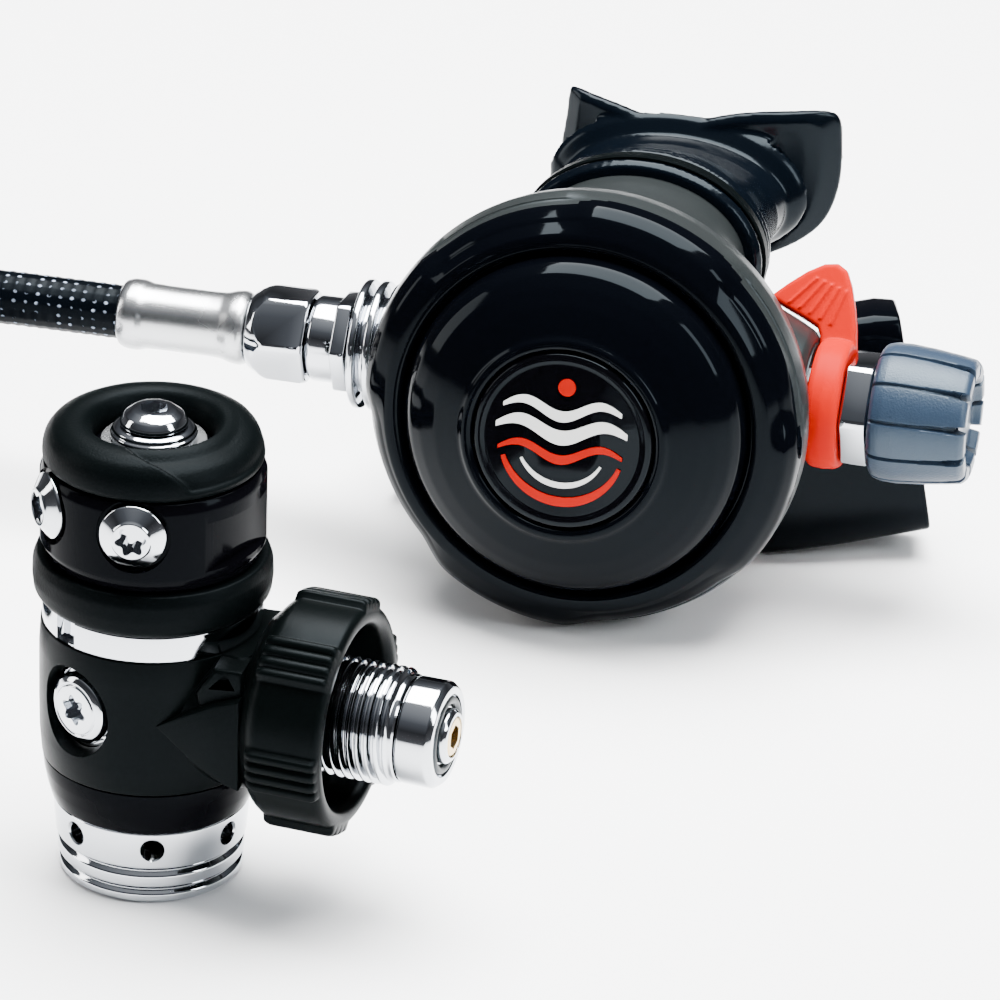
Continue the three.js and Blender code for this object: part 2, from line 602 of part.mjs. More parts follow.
function venturiLever() {
  const lean = new THREE.Matrix4().makeRotationX(rad(90 - TAB_TURN));
  const tabFrame = at(0, BARREL_DEPTH, 0).multiply(lean);
  const ring = disc(13, LEVER_START, LEVER_END, MEDIUM, along);
  const tab = slab(TAB_OUTLINE, -2, 2, tabFrame);
  const bore = disc(BARREL_RADIUS + GAP, 40, 52, MEDIUM, along);
  return ring.add(tab).subtract(bore);
}

addPart(secondStage, "venturi_lever", venturiLever(), "red");
addPart(secondStage, "knob_collar", slab(hexOutline(21.4), 50.3, 56, along)
  .subtract(disc(3.4, 48, 58, COARSE, along)), "chrome");

function adjustmentKnob() {
  const lobes = 12;
  const outline = Array.from({ length: lobes * 3 }, (_, i) => {
    const a = (i / (lobes * 3)) * 2 * Math.PI;
    const r = 14.2 - (i % 3 === 0 ? 1.5 : 0);
    return [r * Math.cos(a), r * Math.sin(a)];
  });
  const grip = slab(outline, 58.5, 75, along);
  const hub = turned([[0, 56.4], [12.2, 56.4], [13.4, 59], [0, 59]], MEDIUM, along);
  const bore = disc(3.3, 55, 67, COARSE, along);
  return grip.add(hub).subtract(bore);
}
addPart(secondStage, "adjustment_knob", adjustmentKnob(), "matte");

// ---------- Second stage: hose end ----------

const FIN_RADIUS = 13.65;
const FIN_FIRST = BARREL_START - 2.5;
const FIN_SPACING = 3.35;
const FIN_COUNT = 3;
const NECK_RADIUS = 9.1; // the fitting between the fins and the hose nut
const NUT_START = -77.6;
const NUT_END = -64.3;

function heatExchanger() {
  const core = FIN_RADIUS - 3.25;
  const profile = [[7.2, BARREL_START - 0.4]];
  for (let i = 0; i < FIN_COUNT; i++) {
    const fin = FIN_FIRST - i * FIN_SPACING;
    profile.push([core, fin + 1.2], [FIN_RADIUS, fin + 0.7], [FIN_RADIUS, fin - 0.7], [core, fin - 1.2]);
  }
  profile.push([7.2, BARREL_START - 10.6]);
  return turned(profile, MEDIUM + 4, along);
}

function inletFitting() {
  const stem = disc(6.2, -72, -18, MEDIUM, along).subtract(disc(7, -30.5, -10, MEDIUM, along));
  const hex = slab(hexOutline(19), -58.3, -55.1, along);
  const neck = disc(NECK_RADIUS, NUT_END + GAP, -58.1, MEDIUM, along);
  const gasWay = disc(2.6, -73, -20, COARSE, along);
  return stem.add(hex).add(neck).subtract(gasWay);
}

function hoseNut() {
  const hex = slab(hexOutline(18), NUT_START, NUT_END, along);
  const rounding = turned([
    [0, NUT_START], [7.6, NUT_START], [9.8, NUT_START + 2.4], [10.4, NUT_START + 5],
    [10.4, NUT_END - 1.1], [9.6, NUT_END], [0, NUT_END],
  ], MEDIUM, along);
  const bore = disc(6.5, -80, -60, MEDIUM, along);
  return hex.intersect(rounding).subtract(bore);
}

function hoseFerrule() {
  const mouth = HOSE_RADIUS + 0.2;
  return turned([
    [2.6, FERRULE_START], [mouth, FERRULE_START], [mouth, FERRULE_START + 0.4], [7.4, FERRULE_START + 0.6],
    [7.5, FERRULE_START + 5], [6.85, FERRULE_START + 6.5], [6.85, NUT_START - 2.5], [6.2, NUT_START - GAP],
    [5.9, NUT_START - GAP], [5.9, -72.4], [2.6, -72.4],
  ], MEDIUM, along);
}

addPart(secondStage, "heat_exchanger", heatExchanger(), "chrome");
addPart(secondStage, "inlet_fitting", inletFitting(), "chrome");
addPart(secondStage, "hose_nut", hoseNut(), "chrome");
addPart(secondStage, "hose_ferrule", hoseFerrule(), "brushed");

// ---------- Second stage: exhaust tee, valve and mouthpiece ----------

const TEE_FRONT = 39.8;
const TEE_MIDDLE_TOP = -0.6; // clear of the nozzle above it
const TEE_END_TOP = 6;
const TEE_WALL = 2;

// A plan outline that is the same on both sides, from the half with X at or above zero.
function mirrored(half) {
  const left = half.filter(([x]) => x > 0).map(([x, y]) => [-x, y]).reverse();
  return [...half, ...left];
}

// The tee's bottom follows the floor, which slopes in the second stage's own frame.
function exhaustTee() {
  const plan = [
    [0, TEE_FRONT], [24, TEE_FRONT], [40, 43], [TEE_HALF_WIDTH, 50], [TEE_HALF_WIDTH, 66],
    [40, 62.5], [24, 57], [0, 56],
  ];
  const inside = [
    [0, TEE_FRONT + TEE_WALL], [24, TEE_FRONT + TEE_WALL], [39, 45.2], [TEE_HALF_WIDTH + 2, 53.2],
    [TEE_HALF_WIDTH + 2, 64.2], [40, 60.3], [24, 55], [0, 54],
  ];
  const side = [[30, -41.6], [70, -37], [70, TEE_END_TOP], [30, TEE_END_TOP]];
  const sideInside = side.map(([y, z]) => [y, z > 0 ? z - TEE_WALL : z + TEE_WALL]);
  const outer = slab(mirrored(plan), -50, 10)
    .intersect(slab(side, -60, 60, sideOn))
    .subtract(block([-30, 30, TEE_MIDDLE_TOP], [30, 80, 20]));
  const hollow = slab(mirrored(inside), -50, 10)
    .intersect(slab(sideInside, -61, 61, sideOn))
    .subtract(block([-30 - TEE_WALL, 30, TEE_MIDDLE_TOP - TEE_WALL], [30 + TEE_WALL, 80, 20]));
  const boss = aimed(new THREE.Vector3(0, 0, -EXHAUST_DROP), BACK);
  return outer.subtract(hollow).subtract(disc(EXHAUST_RADIUS + GAP, 30, TEE_FRONT + 6, MEDIUM, boss));
}

function mouthpiece() {
  const frame = facing(NOZZLE_RISE);
  const bite = facing(NOZZLE_RISE + 2);
  const shield = facing(NOZZLE_RISE + 6);
  const sleeve = slab(ellipseOutline(25.8, 19.6), 45, 60, frame);
  const neck = slab(ellipseOutline(20, 12.5), 58, 82, bite);
  const flange = slab(ellipseOutline(32, 17.5), 81, 85, shield);
  const lugs = [-27, 13].map((x) => block([x, -2.4, 83], [x + 14, 2.4, 97], bite));
  const bore = slab(ellipseOutline(15, 8.2), 58, 90, bite);
  const socket = slab(nozzleOutline(GAP), 40, NOZZLE_END + 2, frame);
  const funnel = slab(ellipseOutline(18, 10), 50, 62, bite);
  const whole = [neck, flange, ...lugs].reduce((sum, piece) => sum.add(piece), sleeve);
  return whole.subtract(socket).subtract(funnel).subtract(bore);
}

addPart(secondStage, "exhaust_tee", exhaustTee(), "gloss");
const valveSeat = aimed(new THREE.Vector3(0, 0, -EXHAUST_DROP), BACK);
addPart(secondStage, "exhaust_valve", disc(13, 38.9, 39.6, MEDIUM, valveSeat), "silicone");
addPart(secondStage, "mouthpiece", mouthpiece(), "silicone");
const clampFrame = facing(NOZZLE_RISE);
addPart(secondStage, "mouthpiece_clamp", slab(ellipseOutline(26.9, 20.7), 48.5, 51.5, clampFrame)
  .subtract(slab(ellipseOutline(26.1, 19.9), 47, 53, clampFrame)), "rubber");
const vaneCorners = [[-8, BARREL_DEPTH - 0.6, BARREL_RADIUS + 0.4], [8, BARREL_DEPTH + 0.6, 19]];
addPart(secondStage, "venturi_vane", block(...vaneCorners), "matte");

// ---------- Hose, in the object's frame ----------

// The stretch that isn't coiled: straight out of the ferrule, then down towards the floor.
const HOSE_ROUTE = [
  [-10.9, 159.7, 43.4], [-22.2, 162.8, 43.4], [-36.7, 166.6, 43], [-51.2, 170.5, 40.8], [-65.7, 174.4, 36.4],
  [-80.2, 178.3, 30.2], [-92.8, 181.7, 24.2], [-100.5, 183.7, 20.4],
];
const COIL_CENTRE = [-122.3, 140.9];
const COIL_OUTER = 76;
const COIL_INNER = 41;
const HOSE_LIFT = 1.4; // the tie's band passes under the coil
const TAIL_TURN = 57; // where the hose leaves the coil, in degrees from +X
const TAIL_RADIUS = 70;
const TIE_TURN = 200;

const hoseGroup = new THREE.Group();
regulator.add(hoseGroup);
const routePoints = HOSE_ROUTE.map((p) => new THREE.Vector3(...p));
const hoseCurve = new THREE.CatmullRomCurve3(routePoints, false, "centripetal");
addPart(hoseGroup, "hose", solid(swept(hoseCurve, HOSE_RADIUS, 12, 14)), "braid");

const tailWay = new THREE.Vector3(-Math.sin(rad(TAIL_TURN)), Math.cos(rad(TAIL_TURN)), 0);
const tailStart = new THREE.Vector3(
  COIL_CENTRE[0] + TAIL_RADIUS * Math.cos(rad(TAIL_TURN)),
  COIL_CENTRE[1] + TAIL_RADIUS * Math.sin(rad(TAIL_TURN)),
  HOSE_RADIUS + HOSE_LIFT,
);
const tail = aimed(tailStart, tailWay);
const coilTop = HOSE_LIFT + 2 * HOSE_RADIUS;
const coilFrame = at(...COIL_CENTRE, 0);
addPart(hoseGroup, "hose_coil", tube(COIL_OUTER, COIL_INNER, HOSE_LIFT, coilTop, FINE, coilFrame)
  .subtract(disc(7.5, 0, 70, MEDIUM, tail)), "braid");
const tieFrame = coilFrame.clone().multiply(new THREE.Matrix4().makeRotationZ(rad(TIE_TURN)));
const tieBand = block([COIL_INNER - 1.5, -4, 0.1], [COIL_OUTER + 1.5, 4, coilTop + 1.3], tieFrame);
const tieInside = block([COIL_INNER - GAP, -6, 1.1], [COIL_OUTER + GAP, 6, coilTop + GAP], tieFrame);
addPart(hoseGroup, "hose_tie", tieBand.subtract(tieInside), "rubber");
addPart(hoseGroup, "hose_end_ferrule", turned([
  [0, 1], [5.8, 1], [7.1, 1.4], [7.1, 5.5], [6.6, 7], [6.6, 24], [5.6, 26.4], [0, 26.4],
], MEDIUM, tail), "brushed");
addPart(hoseGroup, "hose_end_fitting", slab(hexOutline(12.2), 26.7, 32, tail)
  .add(disc(4.7, 31.5, 42, MEDIUM, tail))
  .subtract(disc(2.2, 25, 45, COARSE, tail)), "chrome");

export default regulator;
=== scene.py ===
import json
import math

import bmesh
import bpy
from mathutils import Matrix, Vector


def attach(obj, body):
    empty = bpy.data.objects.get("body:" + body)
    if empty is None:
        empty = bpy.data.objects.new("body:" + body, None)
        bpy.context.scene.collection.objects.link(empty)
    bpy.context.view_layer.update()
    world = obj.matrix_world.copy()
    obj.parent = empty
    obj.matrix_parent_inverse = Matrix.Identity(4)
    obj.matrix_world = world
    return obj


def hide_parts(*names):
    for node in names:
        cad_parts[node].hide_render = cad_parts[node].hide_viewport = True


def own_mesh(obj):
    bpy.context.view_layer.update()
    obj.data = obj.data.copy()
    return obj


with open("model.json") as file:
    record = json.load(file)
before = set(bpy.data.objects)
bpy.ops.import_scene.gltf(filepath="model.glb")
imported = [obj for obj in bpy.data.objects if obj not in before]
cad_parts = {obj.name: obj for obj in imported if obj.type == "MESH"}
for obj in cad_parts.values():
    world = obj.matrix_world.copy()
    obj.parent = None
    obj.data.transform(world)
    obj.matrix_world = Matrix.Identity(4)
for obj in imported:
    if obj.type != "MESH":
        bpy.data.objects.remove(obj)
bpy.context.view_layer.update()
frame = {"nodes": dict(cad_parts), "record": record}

# ---------- Places and sizes, in millimetres as in the CAD model ----------

MM = 0.001
SECOND_CENTRE = (84.8, 106.3, 46.5)
SECOND_YAW = 15
SECOND_TILT = 6.6
BARREL_DEPTH = 27
DIN_HEIGHT = 39.4
DIN_TURN = 69
LOW_PRESSURE_TURNS = (-9, -67, -125, 177)
HIGH_PRESSURE_TURNS = (-44, 180)
LOW_PRESSURE_HEIGHT = 79.5
HIGH_PRESSURE_HEIGHT = 40
NOZZLE_RISE = 21
EXHAUST_DROP = 24
HOSE_RADIUS = 5.8
COIL_CENTRE = (-122.3, 140.9)
HOSE_LIFT = 1.4
TAIL_TURN = 57
TAIL_RADIUS = 70
TIE_TURN = 200
UP = Vector((0, 0, 1))


def turned_z(degrees):
    return Matrix.Rotation(math.radians(degrees), 4, "Z")


def outward(turn):
    """A direction out of the first stage, turned from the front towards the right."""
    a = math.radians(turn)
    return Vector((math.sin(a), -math.cos(a), 0))


def aimed(origin, direction):
    """The matrix that takes +Z to a direction, at a point."""
    turn = UP.rotation_difference(Vector(direction).normalized())
    return Matrix.Translation(Vector(origin)) @ turn.to_matrix().to_4x4()


def sideways(height, turn):
    """The matrix that takes +Z out of the first stage at a height and a turn."""
    return aimed((0, 0, height), outward(turn))


def upright(height, turn):
    """The matrix that takes +Z out of the first stage at a turn, with +X upwards."""
    return sideways(height, turn) @ turned_z(turn + 90)


SECOND = (
    Matrix.Translation(Vector(SECOND_CENTRE))
    @ turned_z(-SECOND_YAW)
    @ Matrix.Rotation(math.radians(-SECOND_TILT), 4, "X")
)
BACKWARDS = SECOND @ aimed((0, 0, 0), (0, 1, 0))
ALONG = SECOND @ aimed((0, BARREL_DEPTH, 0), (1, 0, 0))
INLET = sideways(DIN_HEIGHT, DIN_TURN)

# ---------- Camera: placed before anything else, because the cord rules read its view ----------

CAMERA_PLACE = (28.2, -1134.7, 629.1)
CAMERA_YAW = 1.86
CAMERA_PITCH = 25.88
CAMERA_ROLL = 1.82
FOCAL = 241.67


def in_scene(name, data):
    obj = bpy.data.objects.new(name, data)
    bpy.context.scene.collection.objects.link(obj)
    return obj


def make_camera():
    data = bpy.data.cameras.new("camera")
    data.lens = FOCAL
    data.sensor_width = 36
    data.clip_start = 0.05
    data.clip_end = 20
    data.dof.use_dof = False
    camera = in_scene("camera", data)
    yaw, pitch = math.radians(CAMERA_YAW), math.radians(CAMERA_PITCH)
    look = Vector((math.sin(yaw) * math.cos(pitch), math.cos(yaw) * math.cos(pitch), -math.sin(pitch)))
    turn = look.to_track_quat("-Z", "Y").to_matrix().to_4x4()
    roll = Matrix.Rotation(math.radians(CAMERA_ROLL), 4, "Z")
    camera.matrix_world = Matrix.Translation(Vector(CAMERA_PLACE) * MM) @ turn @ roll
    bpy.context.scene.camera = camera


make_camera()

# ---------- Mesh tools ----------


def smoothed(obj, angle=32):
    """Smooth shading that keeps edges sharper than the angle."""
    bpy.context.view_layer.objects.active = obj
    obj.data.shade_smooth()
    obj.data.set_sharp_from_angle(angle=math.radians(angle))
    return obj


def mesh_object(name, points, faces, matrix=None, angle=32):
    """A mesh from points in millimetres, with its faces pointing out."""
    mesh = bpy.data.meshes.new(name)
    mesh.from_pydata([tuple(p) for p in points], [], faces)
    mesh.transform(Matrix.Scale(MM, 4) @ (matrix or Matrix.Identity(4)))
    builder = bmesh.new()
    builder.from_mesh(mesh)
    bmesh.ops.remove_doubles(builder, verts=builder.verts, dist=2e-7)
    bmesh.ops.dissolve_degenerate(builder, edges=builder.edges, dist=1e-7)
    bmesh.ops.recalc_face_normals(builder, faces=builder.faces)
    builder.to_mesh(mesh)
    builder.free()
    return smoothed(in_scene(name, mesh), angle)


def joined(rings, count, caps=(True, True)):
    """The faces between rings of count points each, with a cap at either end where wanted."""
    faces = []
    for r in range(rings - 1):
        for i in range(count):
            k = (i + 1) % count
            a, b = r * count, (r + 1) * count
            faces.append((a + i, a + k, b + k, b + i))
    if caps[0]:
        faces.append(tuple(reversed(range(count))))
    if caps[1]:
        faces.append(tuple(range((rings - 1) * count, rings * count)))
    return faces


def clamped(t):
    return min(max(t, 0), 1)


def smooth_step(t):
    t = clamped(t)
    return t * t * (3 - 2 * t)


def softened(profile, radius=0.35, steps=3):
    """The profile with each corner that is off the axis rounded by a short curve."""
    closed = not (profile[0][0] == 0 and profile[-1][0] == 0)
    points = [Vector((r, h)) for r, h in profile]
    count = len(points)
    out = []
    for i, corner in enumerate(points):
        if not closed and i in (0, count - 1):
            out.append(tuple(corner))
            continue
        before, after = points[i - 1], points[(i + 1) % count]
        into, onward = before - corner, after - corner
        reach = min(radius, 0.45 * into.length, 0.45 * onward.length)
        start, end = corner + into.normalized() * reach, corner + onward.normalized() * reach
        for k in range(steps + 1):
            t = k / steps
            p = start * (1 - t) ** 2 + corner * 2 * t * (1 - t) + end * t**2
            out.append((p.x, p.y))
    return out


def lathe(name, profile, matrix=None, segments=96, radius=0.35, steps=3, wave=None, angle=32):
    """A turned solid about +Z. wave(angle, r, h) may move a point of the profile."""
    section = softened(profile, radius, steps) if radius else list(profile)
    closed = not (profile[0][0] == 0 and profile[-1][0] == 0)
    points, faces = [], []
    count = len(section)
    for s in range(segments):
        a = s / segments * math.tau
        for r, h in section:
            if wave:
                r, h = wave(a, r, h)
            points.append((r * math.cos(a), r * math.sin(a), h))
    for s in range(segments):
        this, following = s * count, (s + 1) % segments * count
        for i in range(count if closed else count - 1):
            k = (i + 1) % count
            faces.append((this + i, this + k, following + k, following + i))
    return mesh_object(name, points, faces, matrix, angle)


def inset(outline, distance):
    """The outline moved inwards by a distance."""
    count = len(outline)
    out = []
    for i, p in enumerate(outline):
        a = Vector(p) - Vector(outline[i - 1])
        b = Vector(outline[(i + 1) % count]) - Vector(p)
        na, nb = Vector((-a.y, a.x)).normalized(), Vector((-b.y, b.x)).normalized()
        n = na + nb
        n = n / max(n.length_squared, 1e-9) * 2
        out.append((p[0] + n.x * distance, p[1] + n.y * distance))
    return out


def prism(name, outline, low, high, matrix=None, edge=0.4, steps=3, angle=32):
    """An outline in the XY plane (anticlockwise) given height, with rounded rims."""
    rings = []
    for k in range(steps + 1):
        a = k / steps * math.pi / 2
        rings.append((edge * (1 - math.sin(a)), low + edge * (1 - math.cos(a))))
    rings += [(d, low + high - h) for d, h in reversed(rings)]
    points = [(x, y, h) for d, h in rings for x, y in inset(outline, d)]
    return mesh_object(name, points, joined(len(rings), len(outline)), matrix, angle)


def loft(name, sections, matrix=None, angle=40):
    """A closed skin over sections, each a list of as many points in space."""
    points = [p for section in sections for p in section]
    return mesh_object(name, points, joined(len(sections), len(sections[0])), matrix, angle)


def oval(half_width, half_height, count=64, power=2, centre=(0, 0)):
    """A superellipse, anticlockwise."""
    out = []
    for i in range(count):
        a = i / count * math.tau
        c, s = math.cos(a), math.sin(a)
        x = half_width * math.copysign(abs(c) ** (2 / power), c)
        y = half_height * math.copysign(abs(s) ** (2 / power), s)
        out.append((centre[0] + x, centre[1] + y))
    return out


def hexagon(across_flats, corner=0.6):
    """A hexagon with small round corners."""
    reach = across_flats / math.sqrt(3)
    turns = [math.radians(30 + 60 * i) for i in range(6)]
    corners = [Vector((reach * math.cos(a), reach * math.sin(a))) for a in turns]
    out = []
    for i, c in enumerate(corners):
        a, b = corners[i - 1] - c, corners[(i + 1) % 6] - c
        start, end = c + a.normalized() * corner, c + b.normalized() * corner
        for t in (0, 0.5, 1):
            p = start * (1 - t) ** 2 + c * 2 * t * (1 - t) + end * t**2
            out.append((p.x, p.y))
    return out


def block(name, low, high, matrix=None):
    """A box between two corners."""
    (x0, y0, z0), (x1, y1, z1) = low, high
    points = [(x, y, z) for x in (x0, x1) for y in (y0, y1) for z in (z0, z1)]
    faces = [(0, 1, 3, 2), (4, 6, 7, 5), (0, 4, 5, 1), (2, 3, 7, 6), (0, 2, 6, 4), (1, 5, 7, 3)]
    return mesh_object(name, points, faces, matrix)


def rod(name, radius, low, high, matrix=None, segments=48):
    return lathe(name, [(0, low), (radius, low), (radius, high), (0, high)], matrix, segments, 0)


def settled(obj):
    """Makes the piece's modifiers part of its mesh."""
    graph = bpy.context.evaluated_depsgraph_get()
    made = bpy.data.meshes.new_from_object(obj.evaluated_get(graph))
    obj.modifiers.clear()
    old = obj.data
    obj.data = made
    bpy.data.meshes.remove(old)
    return obj


def combined(obj, tools, operation="DIFFERENCE"):
    """Cuts the tools out of the piece, or joins them to it, and removes them."""
    for tool in tools:
        modifier = obj.modifiers.new("cut", "BOOLEAN")
        modifier.operation = operation
        modifier.solver = "EXACT"
        modifier.object = tool
        settled(obj)
        bpy.data.objects.remove(tool)
    return smoothed(obj)


def cut(obj, *tools):
    return combined(obj, tools, "DIFFERENCE")


def fused(obj, *tools):
    return combined(obj, tools, "UNION")


def rounded_off(obj, width, segments=2, angle=35):
    """Bevels the sharp edges by a width in millimetres."""
    modifier = obj.modifiers.new("round", "BEVEL")
    modifier.width = width * MM
    modifier.segments = segments
    modifier.limit_method = "ANGLE"
    modifier.angle_limit = math.radians(angle)
    return smoothed(settled(obj), 40)


def melted(obj, voxel, rounds=4, factor=0.6):
    """One closed skin over overlapping solids, with soft fillets, as a moulding has."""
    remesh = obj.modifiers.new("skin", "REMESH")
    remesh.mode = "VOXEL"
    remesh.voxel_size = voxel * MM
    smooth = obj.modifiers.new("soften", "SMOOTH")
    smooth.factor = factor
    smooth.iterations = rounds
    return smoothed(settled(obj), 60)


def gathered(name, objects):
    """Several meshes as one object."""
    builder = bmesh.new()
    for obj in objects:
        builder.from_mesh(obj.data)
    mesh = bpy.data.meshes.new(name)
    builder.to_mesh(mesh)
    builder.free()
    for obj in objects:
        bpy.data.objects.remove(obj)
    return smoothed(in_scene(name, mesh))


def piece(obj, body, finish, nodes=(), look=None):
    """Gives a piece its material (its slot's own, or another look) and its body, and hides the CAD
    nodes it stands for."""
    obj.data.materials.clear()
    obj.data.materials.append(look or FINISHES[finish])
    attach(obj, body)
    if nodes:
        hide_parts(*([nodes] if isinstance(nodes, str) else nodes))
    return obj


# ---------- Finishes, one for each material slot of the record ----------


def link(tree, a, b):
    tree.links.new(a, b)


PAINTED_REFLECTION_TINT = (0.74, 0.9, 1, 1)  # a blue tint painted into the reflections of whatever isn't metal, standing in for bluish surroundings


def noise(tree, place, scale, detail=2):
    node = tree.nodes.new("ShaderNodeTexNoise")
    node.inputs["Scale"].default_value = scale
    node.inputs["Detail"].default_value = detail
    link(tree, place.outputs["Object"], node.inputs["Vector"])
    return node.outputs["Fac"]


def two_toned(tree, amount, colour, other):
    """The base colour runs from one colour to another with the amount."""
    mix = tree.nodes.new("ShaderNodeMix")
    mix.data_type = "RGBA"
    mix.inputs[6].default_value = (*colour, 1)
    mix.inputs[7].default_value = (*other, 1)
    link(tree, amount, mix.inputs[0])
    link(tree, mix.outputs[2], tree.nodes["Principled BSDF"].inputs["Base Color"])


def finish(name, colour, metallic, roughness, grain=None, smear=0, tint=None, shine=0.3):
    """A procedural material. grain is (features per metre, height in metres), smear varies the
    roughness over broad patches, tint is a second colour mixed in by soft noise, and shine is how
    strongly a surface that isn't metal reflects."""
    material = bpy.data.materials.new(name)
    material.use_nodes = True
    tree = material.node_tree
    shader = tree.nodes["Principled BSDF"]
    shader.inputs["Base Color"].default_value = (*colour, 1)
    shader.inputs["Metallic"].default_value = metallic
    shader.inputs["Roughness"].default_value = roughness
    shader.inputs["Specular IOR Level"].default_value = 0.5 if metallic else shine
    # Surfaces that aren't metal get the painted blue reflection tint.
    shader.inputs["Specular Tint"].default_value = (1, 1, 1, 1) if metallic else PAINTED_REFLECTION_TINT
    place = tree.nodes.new("ShaderNodeTexCoord")
    if grain:
        bump = tree.nodes.new("ShaderNodeBump")
        bump.inputs["Distance"].default_value = grain[1]
        bump.inputs["Strength"].default_value = 1
        link(tree, noise(tree, place, grain[0], 3), bump.inputs["Height"])
        link(tree, bump.outputs["Normal"], shader.inputs["Normal"])
    soft = noise(tree, place, 90)
    if smear:
        spread = tree.nodes.new("ShaderNodeMapRange")
        spread.inputs["To Min"].default_value = max(0.01, roughness - smear)
        spread.inputs["To Max"].default_value = roughness + smear
        link(tree, soft, spread.inputs["Value"])
        link(tree, spread.outputs["Result"], shader.inputs["Roughness"])
    if tint:
        two_toned(tree, soft, colour, tint)
    return material


def braided():
    """Black braid with pale flecks painted where its two crossing strands rise highest, by the tube's own
    UV: painted glints on the weave's crowns, scattered by noise.
    """
    material = finish("braid", (0.0004, 0.0008, 0.0015), 0, 0.36, smear=0.06, shine=0.04)
    tree = material.node_tree
    uv = tree.nodes.new("ShaderNodeUVMap")
    split = tree.nodes.new("ShaderNodeSeparateXYZ")
    link(tree, uv.outputs["UV"], split.inputs["Vector"])

    def maths(kind, a, b=None):
        node = tree.nodes.new("ShaderNodeMath")
        node.operation = kind
        for socket, value in zip(node.inputs, (a, b)):
            if value is None:
                continue
            if isinstance(value, (int, float)):
                socket.default_value = value
            else:
                link(tree, value, socket)
        return node.outputs[0]

    across, down = split.outputs["X"], split.outputs["Y"]
    one = maths("SINE", maths("MULTIPLY", maths("ADD", across, down), math.tau))
    other = maths("SINE", maths("MULTIPLY", maths("SUBTRACT", across, down), math.tau))
    # Painted glints: pale bluish colour on the weave's raised crowns, where the tube's surface is highest.
    crown_glint = tree.nodes.new("ShaderNodeMapRange")
    crown_glint.inputs["From Min"].default_value = 0.62
    crown_glint.inputs["From Max"].default_value = 0.92
    link(tree, maths("MULTIPLY", one, other), crown_glint.inputs["Value"])
    rare = noise(tree, tree.nodes.new("ShaderNodeTexCoord"), 420)
    share = maths("MULTIPLY", maths("SUBTRACT", rare, 0.47), 5)
    amount = maths("MULTIPLY", crown_glint.outputs["Result"], share)
    two_toned(tree, amount, (0.0004, 0.0008, 0.0015), (0.34, 0.40, 0.52))
    return material


FINISHES = {
    "chrome": finish("chrome", (0.52, 0.54, 0.57), 1, 0.07, smear=0.03),
    "ferrule_metal": finish("ferrule_metal", (0.47, 0.48, 0.49), 1, 0.27, (2600, 0.00002), 0.06),
    "steel": finish("steel", (0.45, 0.45, 0.46), 1, 0.28, smear=0.05),
    "brass": finish("brass", (0.62, 0.44, 0.20), 1, 0.20, smear=0.05),
    "coated_metal": finish("coated_metal", (0.001, 0.001, 0.0015), 0, 0.10, smear=0.03, shine=0.018),
    "gloss_black": finish("gloss_black", (0.0006, 0.0008, 0.0014), 0, 0.07, smear=0.02, shine=0.045),
    "badge": finish("badge", (0.001, 0.001, 0.0015), 0, 0.05, smear=0.01, shine=0.08),
    "matte_black": finish("matte_black", (0.0008, 0.0013, 0.0013), 0, 0.33, (3200, 0.00003), 0.05,
                          shine=0.028),
    "rubber_black": finish("rubber_black", (0.0008, 0.0013, 0.0014), 0, 0.42, (2200, 0.00006), 0.05,
                           shine=0.022),
    "silicone_black": finish("silicone_black", (0.0008, 0.0015, 0.0027), 0, 0.16, smear=0.05,
                             shine=0.085),
    "silicone_grey": finish("silicone_grey", (0.20, 0.20, 0.21), 0, 0.45, smear=0.04),
    "seal_rubber": finish("seal_rubber", (0.006, 0.006, 0.006), 0, 0.40, smear=0.04),
    "red_plastic": finish("red_plastic", (0.33, 0.0024, 0.0002), 0, 0.4, (1500, 0.00003), 0.05,
                          (0.38, 0.004, 0.0003), shine=0.03),
    "white_plastic": finish("white_plastic", (0.72, 0.71, 0.68), 0, 0.40, smear=0.04),
    "braid": braided(),
}
CASE_FINISH = finish("case", (0.009, 0.0105, 0.0105), 0, 0.36, (2600, 0.00002), 0.05, shine=0.22)
# The knob's blue-grey base colour, lifted above the black of its slot, is a painted bluish sheen.
KNOB_PAINTED_SHEEN = finish("knob", (0.013, 0.022, 0.038), 0, 0.36, (2400, 0.00008), 0.05, shine=0.34)
# The turret's flat facet is the same coated metal, made lighter and shinier: a painted reflection.
FACET_PAINTED_REFLECTION = finish("facet", (0.012, 0.013, 0.014), 0, 0.30, smear=0.05, shine=0.34)
PRINT_WHITE = finish("print_white", (0.62, 0.62, 0.60), 0, 0.25, smear=0.03, shine=0.2)
PRINT_RED = finish("print_red", (0.30, 0.0026, 0.0003), 0, 0.25, smear=0.03, shine=0.06)
SLOTS = {part["node"]: part["material_slot"] for part in frame["record"]["subparts"]}
for node in frame["nodes"].values():
    if node.name in SLOTS:
        node.data.materials.clear()
        node.data.materials.append(FINISHES[SLOTS[node.name]])

# ---------- Hose: a free cord, straight out of the ferrule and down into a flat coil ----------

HOSE_FLOOR = HOSE_LIFT + HOSE_RADIUS
FERRULE_END = SECOND @ Vector((-106, BARREL_DEPTH, 0))
HOSE_WAY = (SECOND.to_3x3() @ Vector((-1, 0, 0))).normalized()
DROP_START, DROP_LENGTH, TANGENT = 22, 125, 103
COIL_FIRST_RADIUS, COIL_FIRST_TURN, COIL_SWEEP = 47, 75, 702


def hose_height(s):
    t = clamped((s - DROP_START) / DROP_LENGTH)
    return HOSE_FLOOR + (FERRULE_END.z - HOSE_FLOOR) / 2 * (1 + math.cos(math.pi * t))


def eased(t, ease=0.09):
    """Runs from 0 to 1 in a straight line, with a short soft start and end."""
    slope = 1 / (1 - ease)
    if t < ease:
        return slope * t * t / (2 * ease)
    if t > 1 - ease:
        return 1 - slope * (1 - t) ** 2 / (2 * ease)
    return slope * (t - ease / 2)


def on_coil(radius, degrees, height):
    a = math.radians(degrees)
    return COIL_CENTRE[0] + radius * math.cos(a), COIL_CENTRE[1] + radius * math.sin(a), height


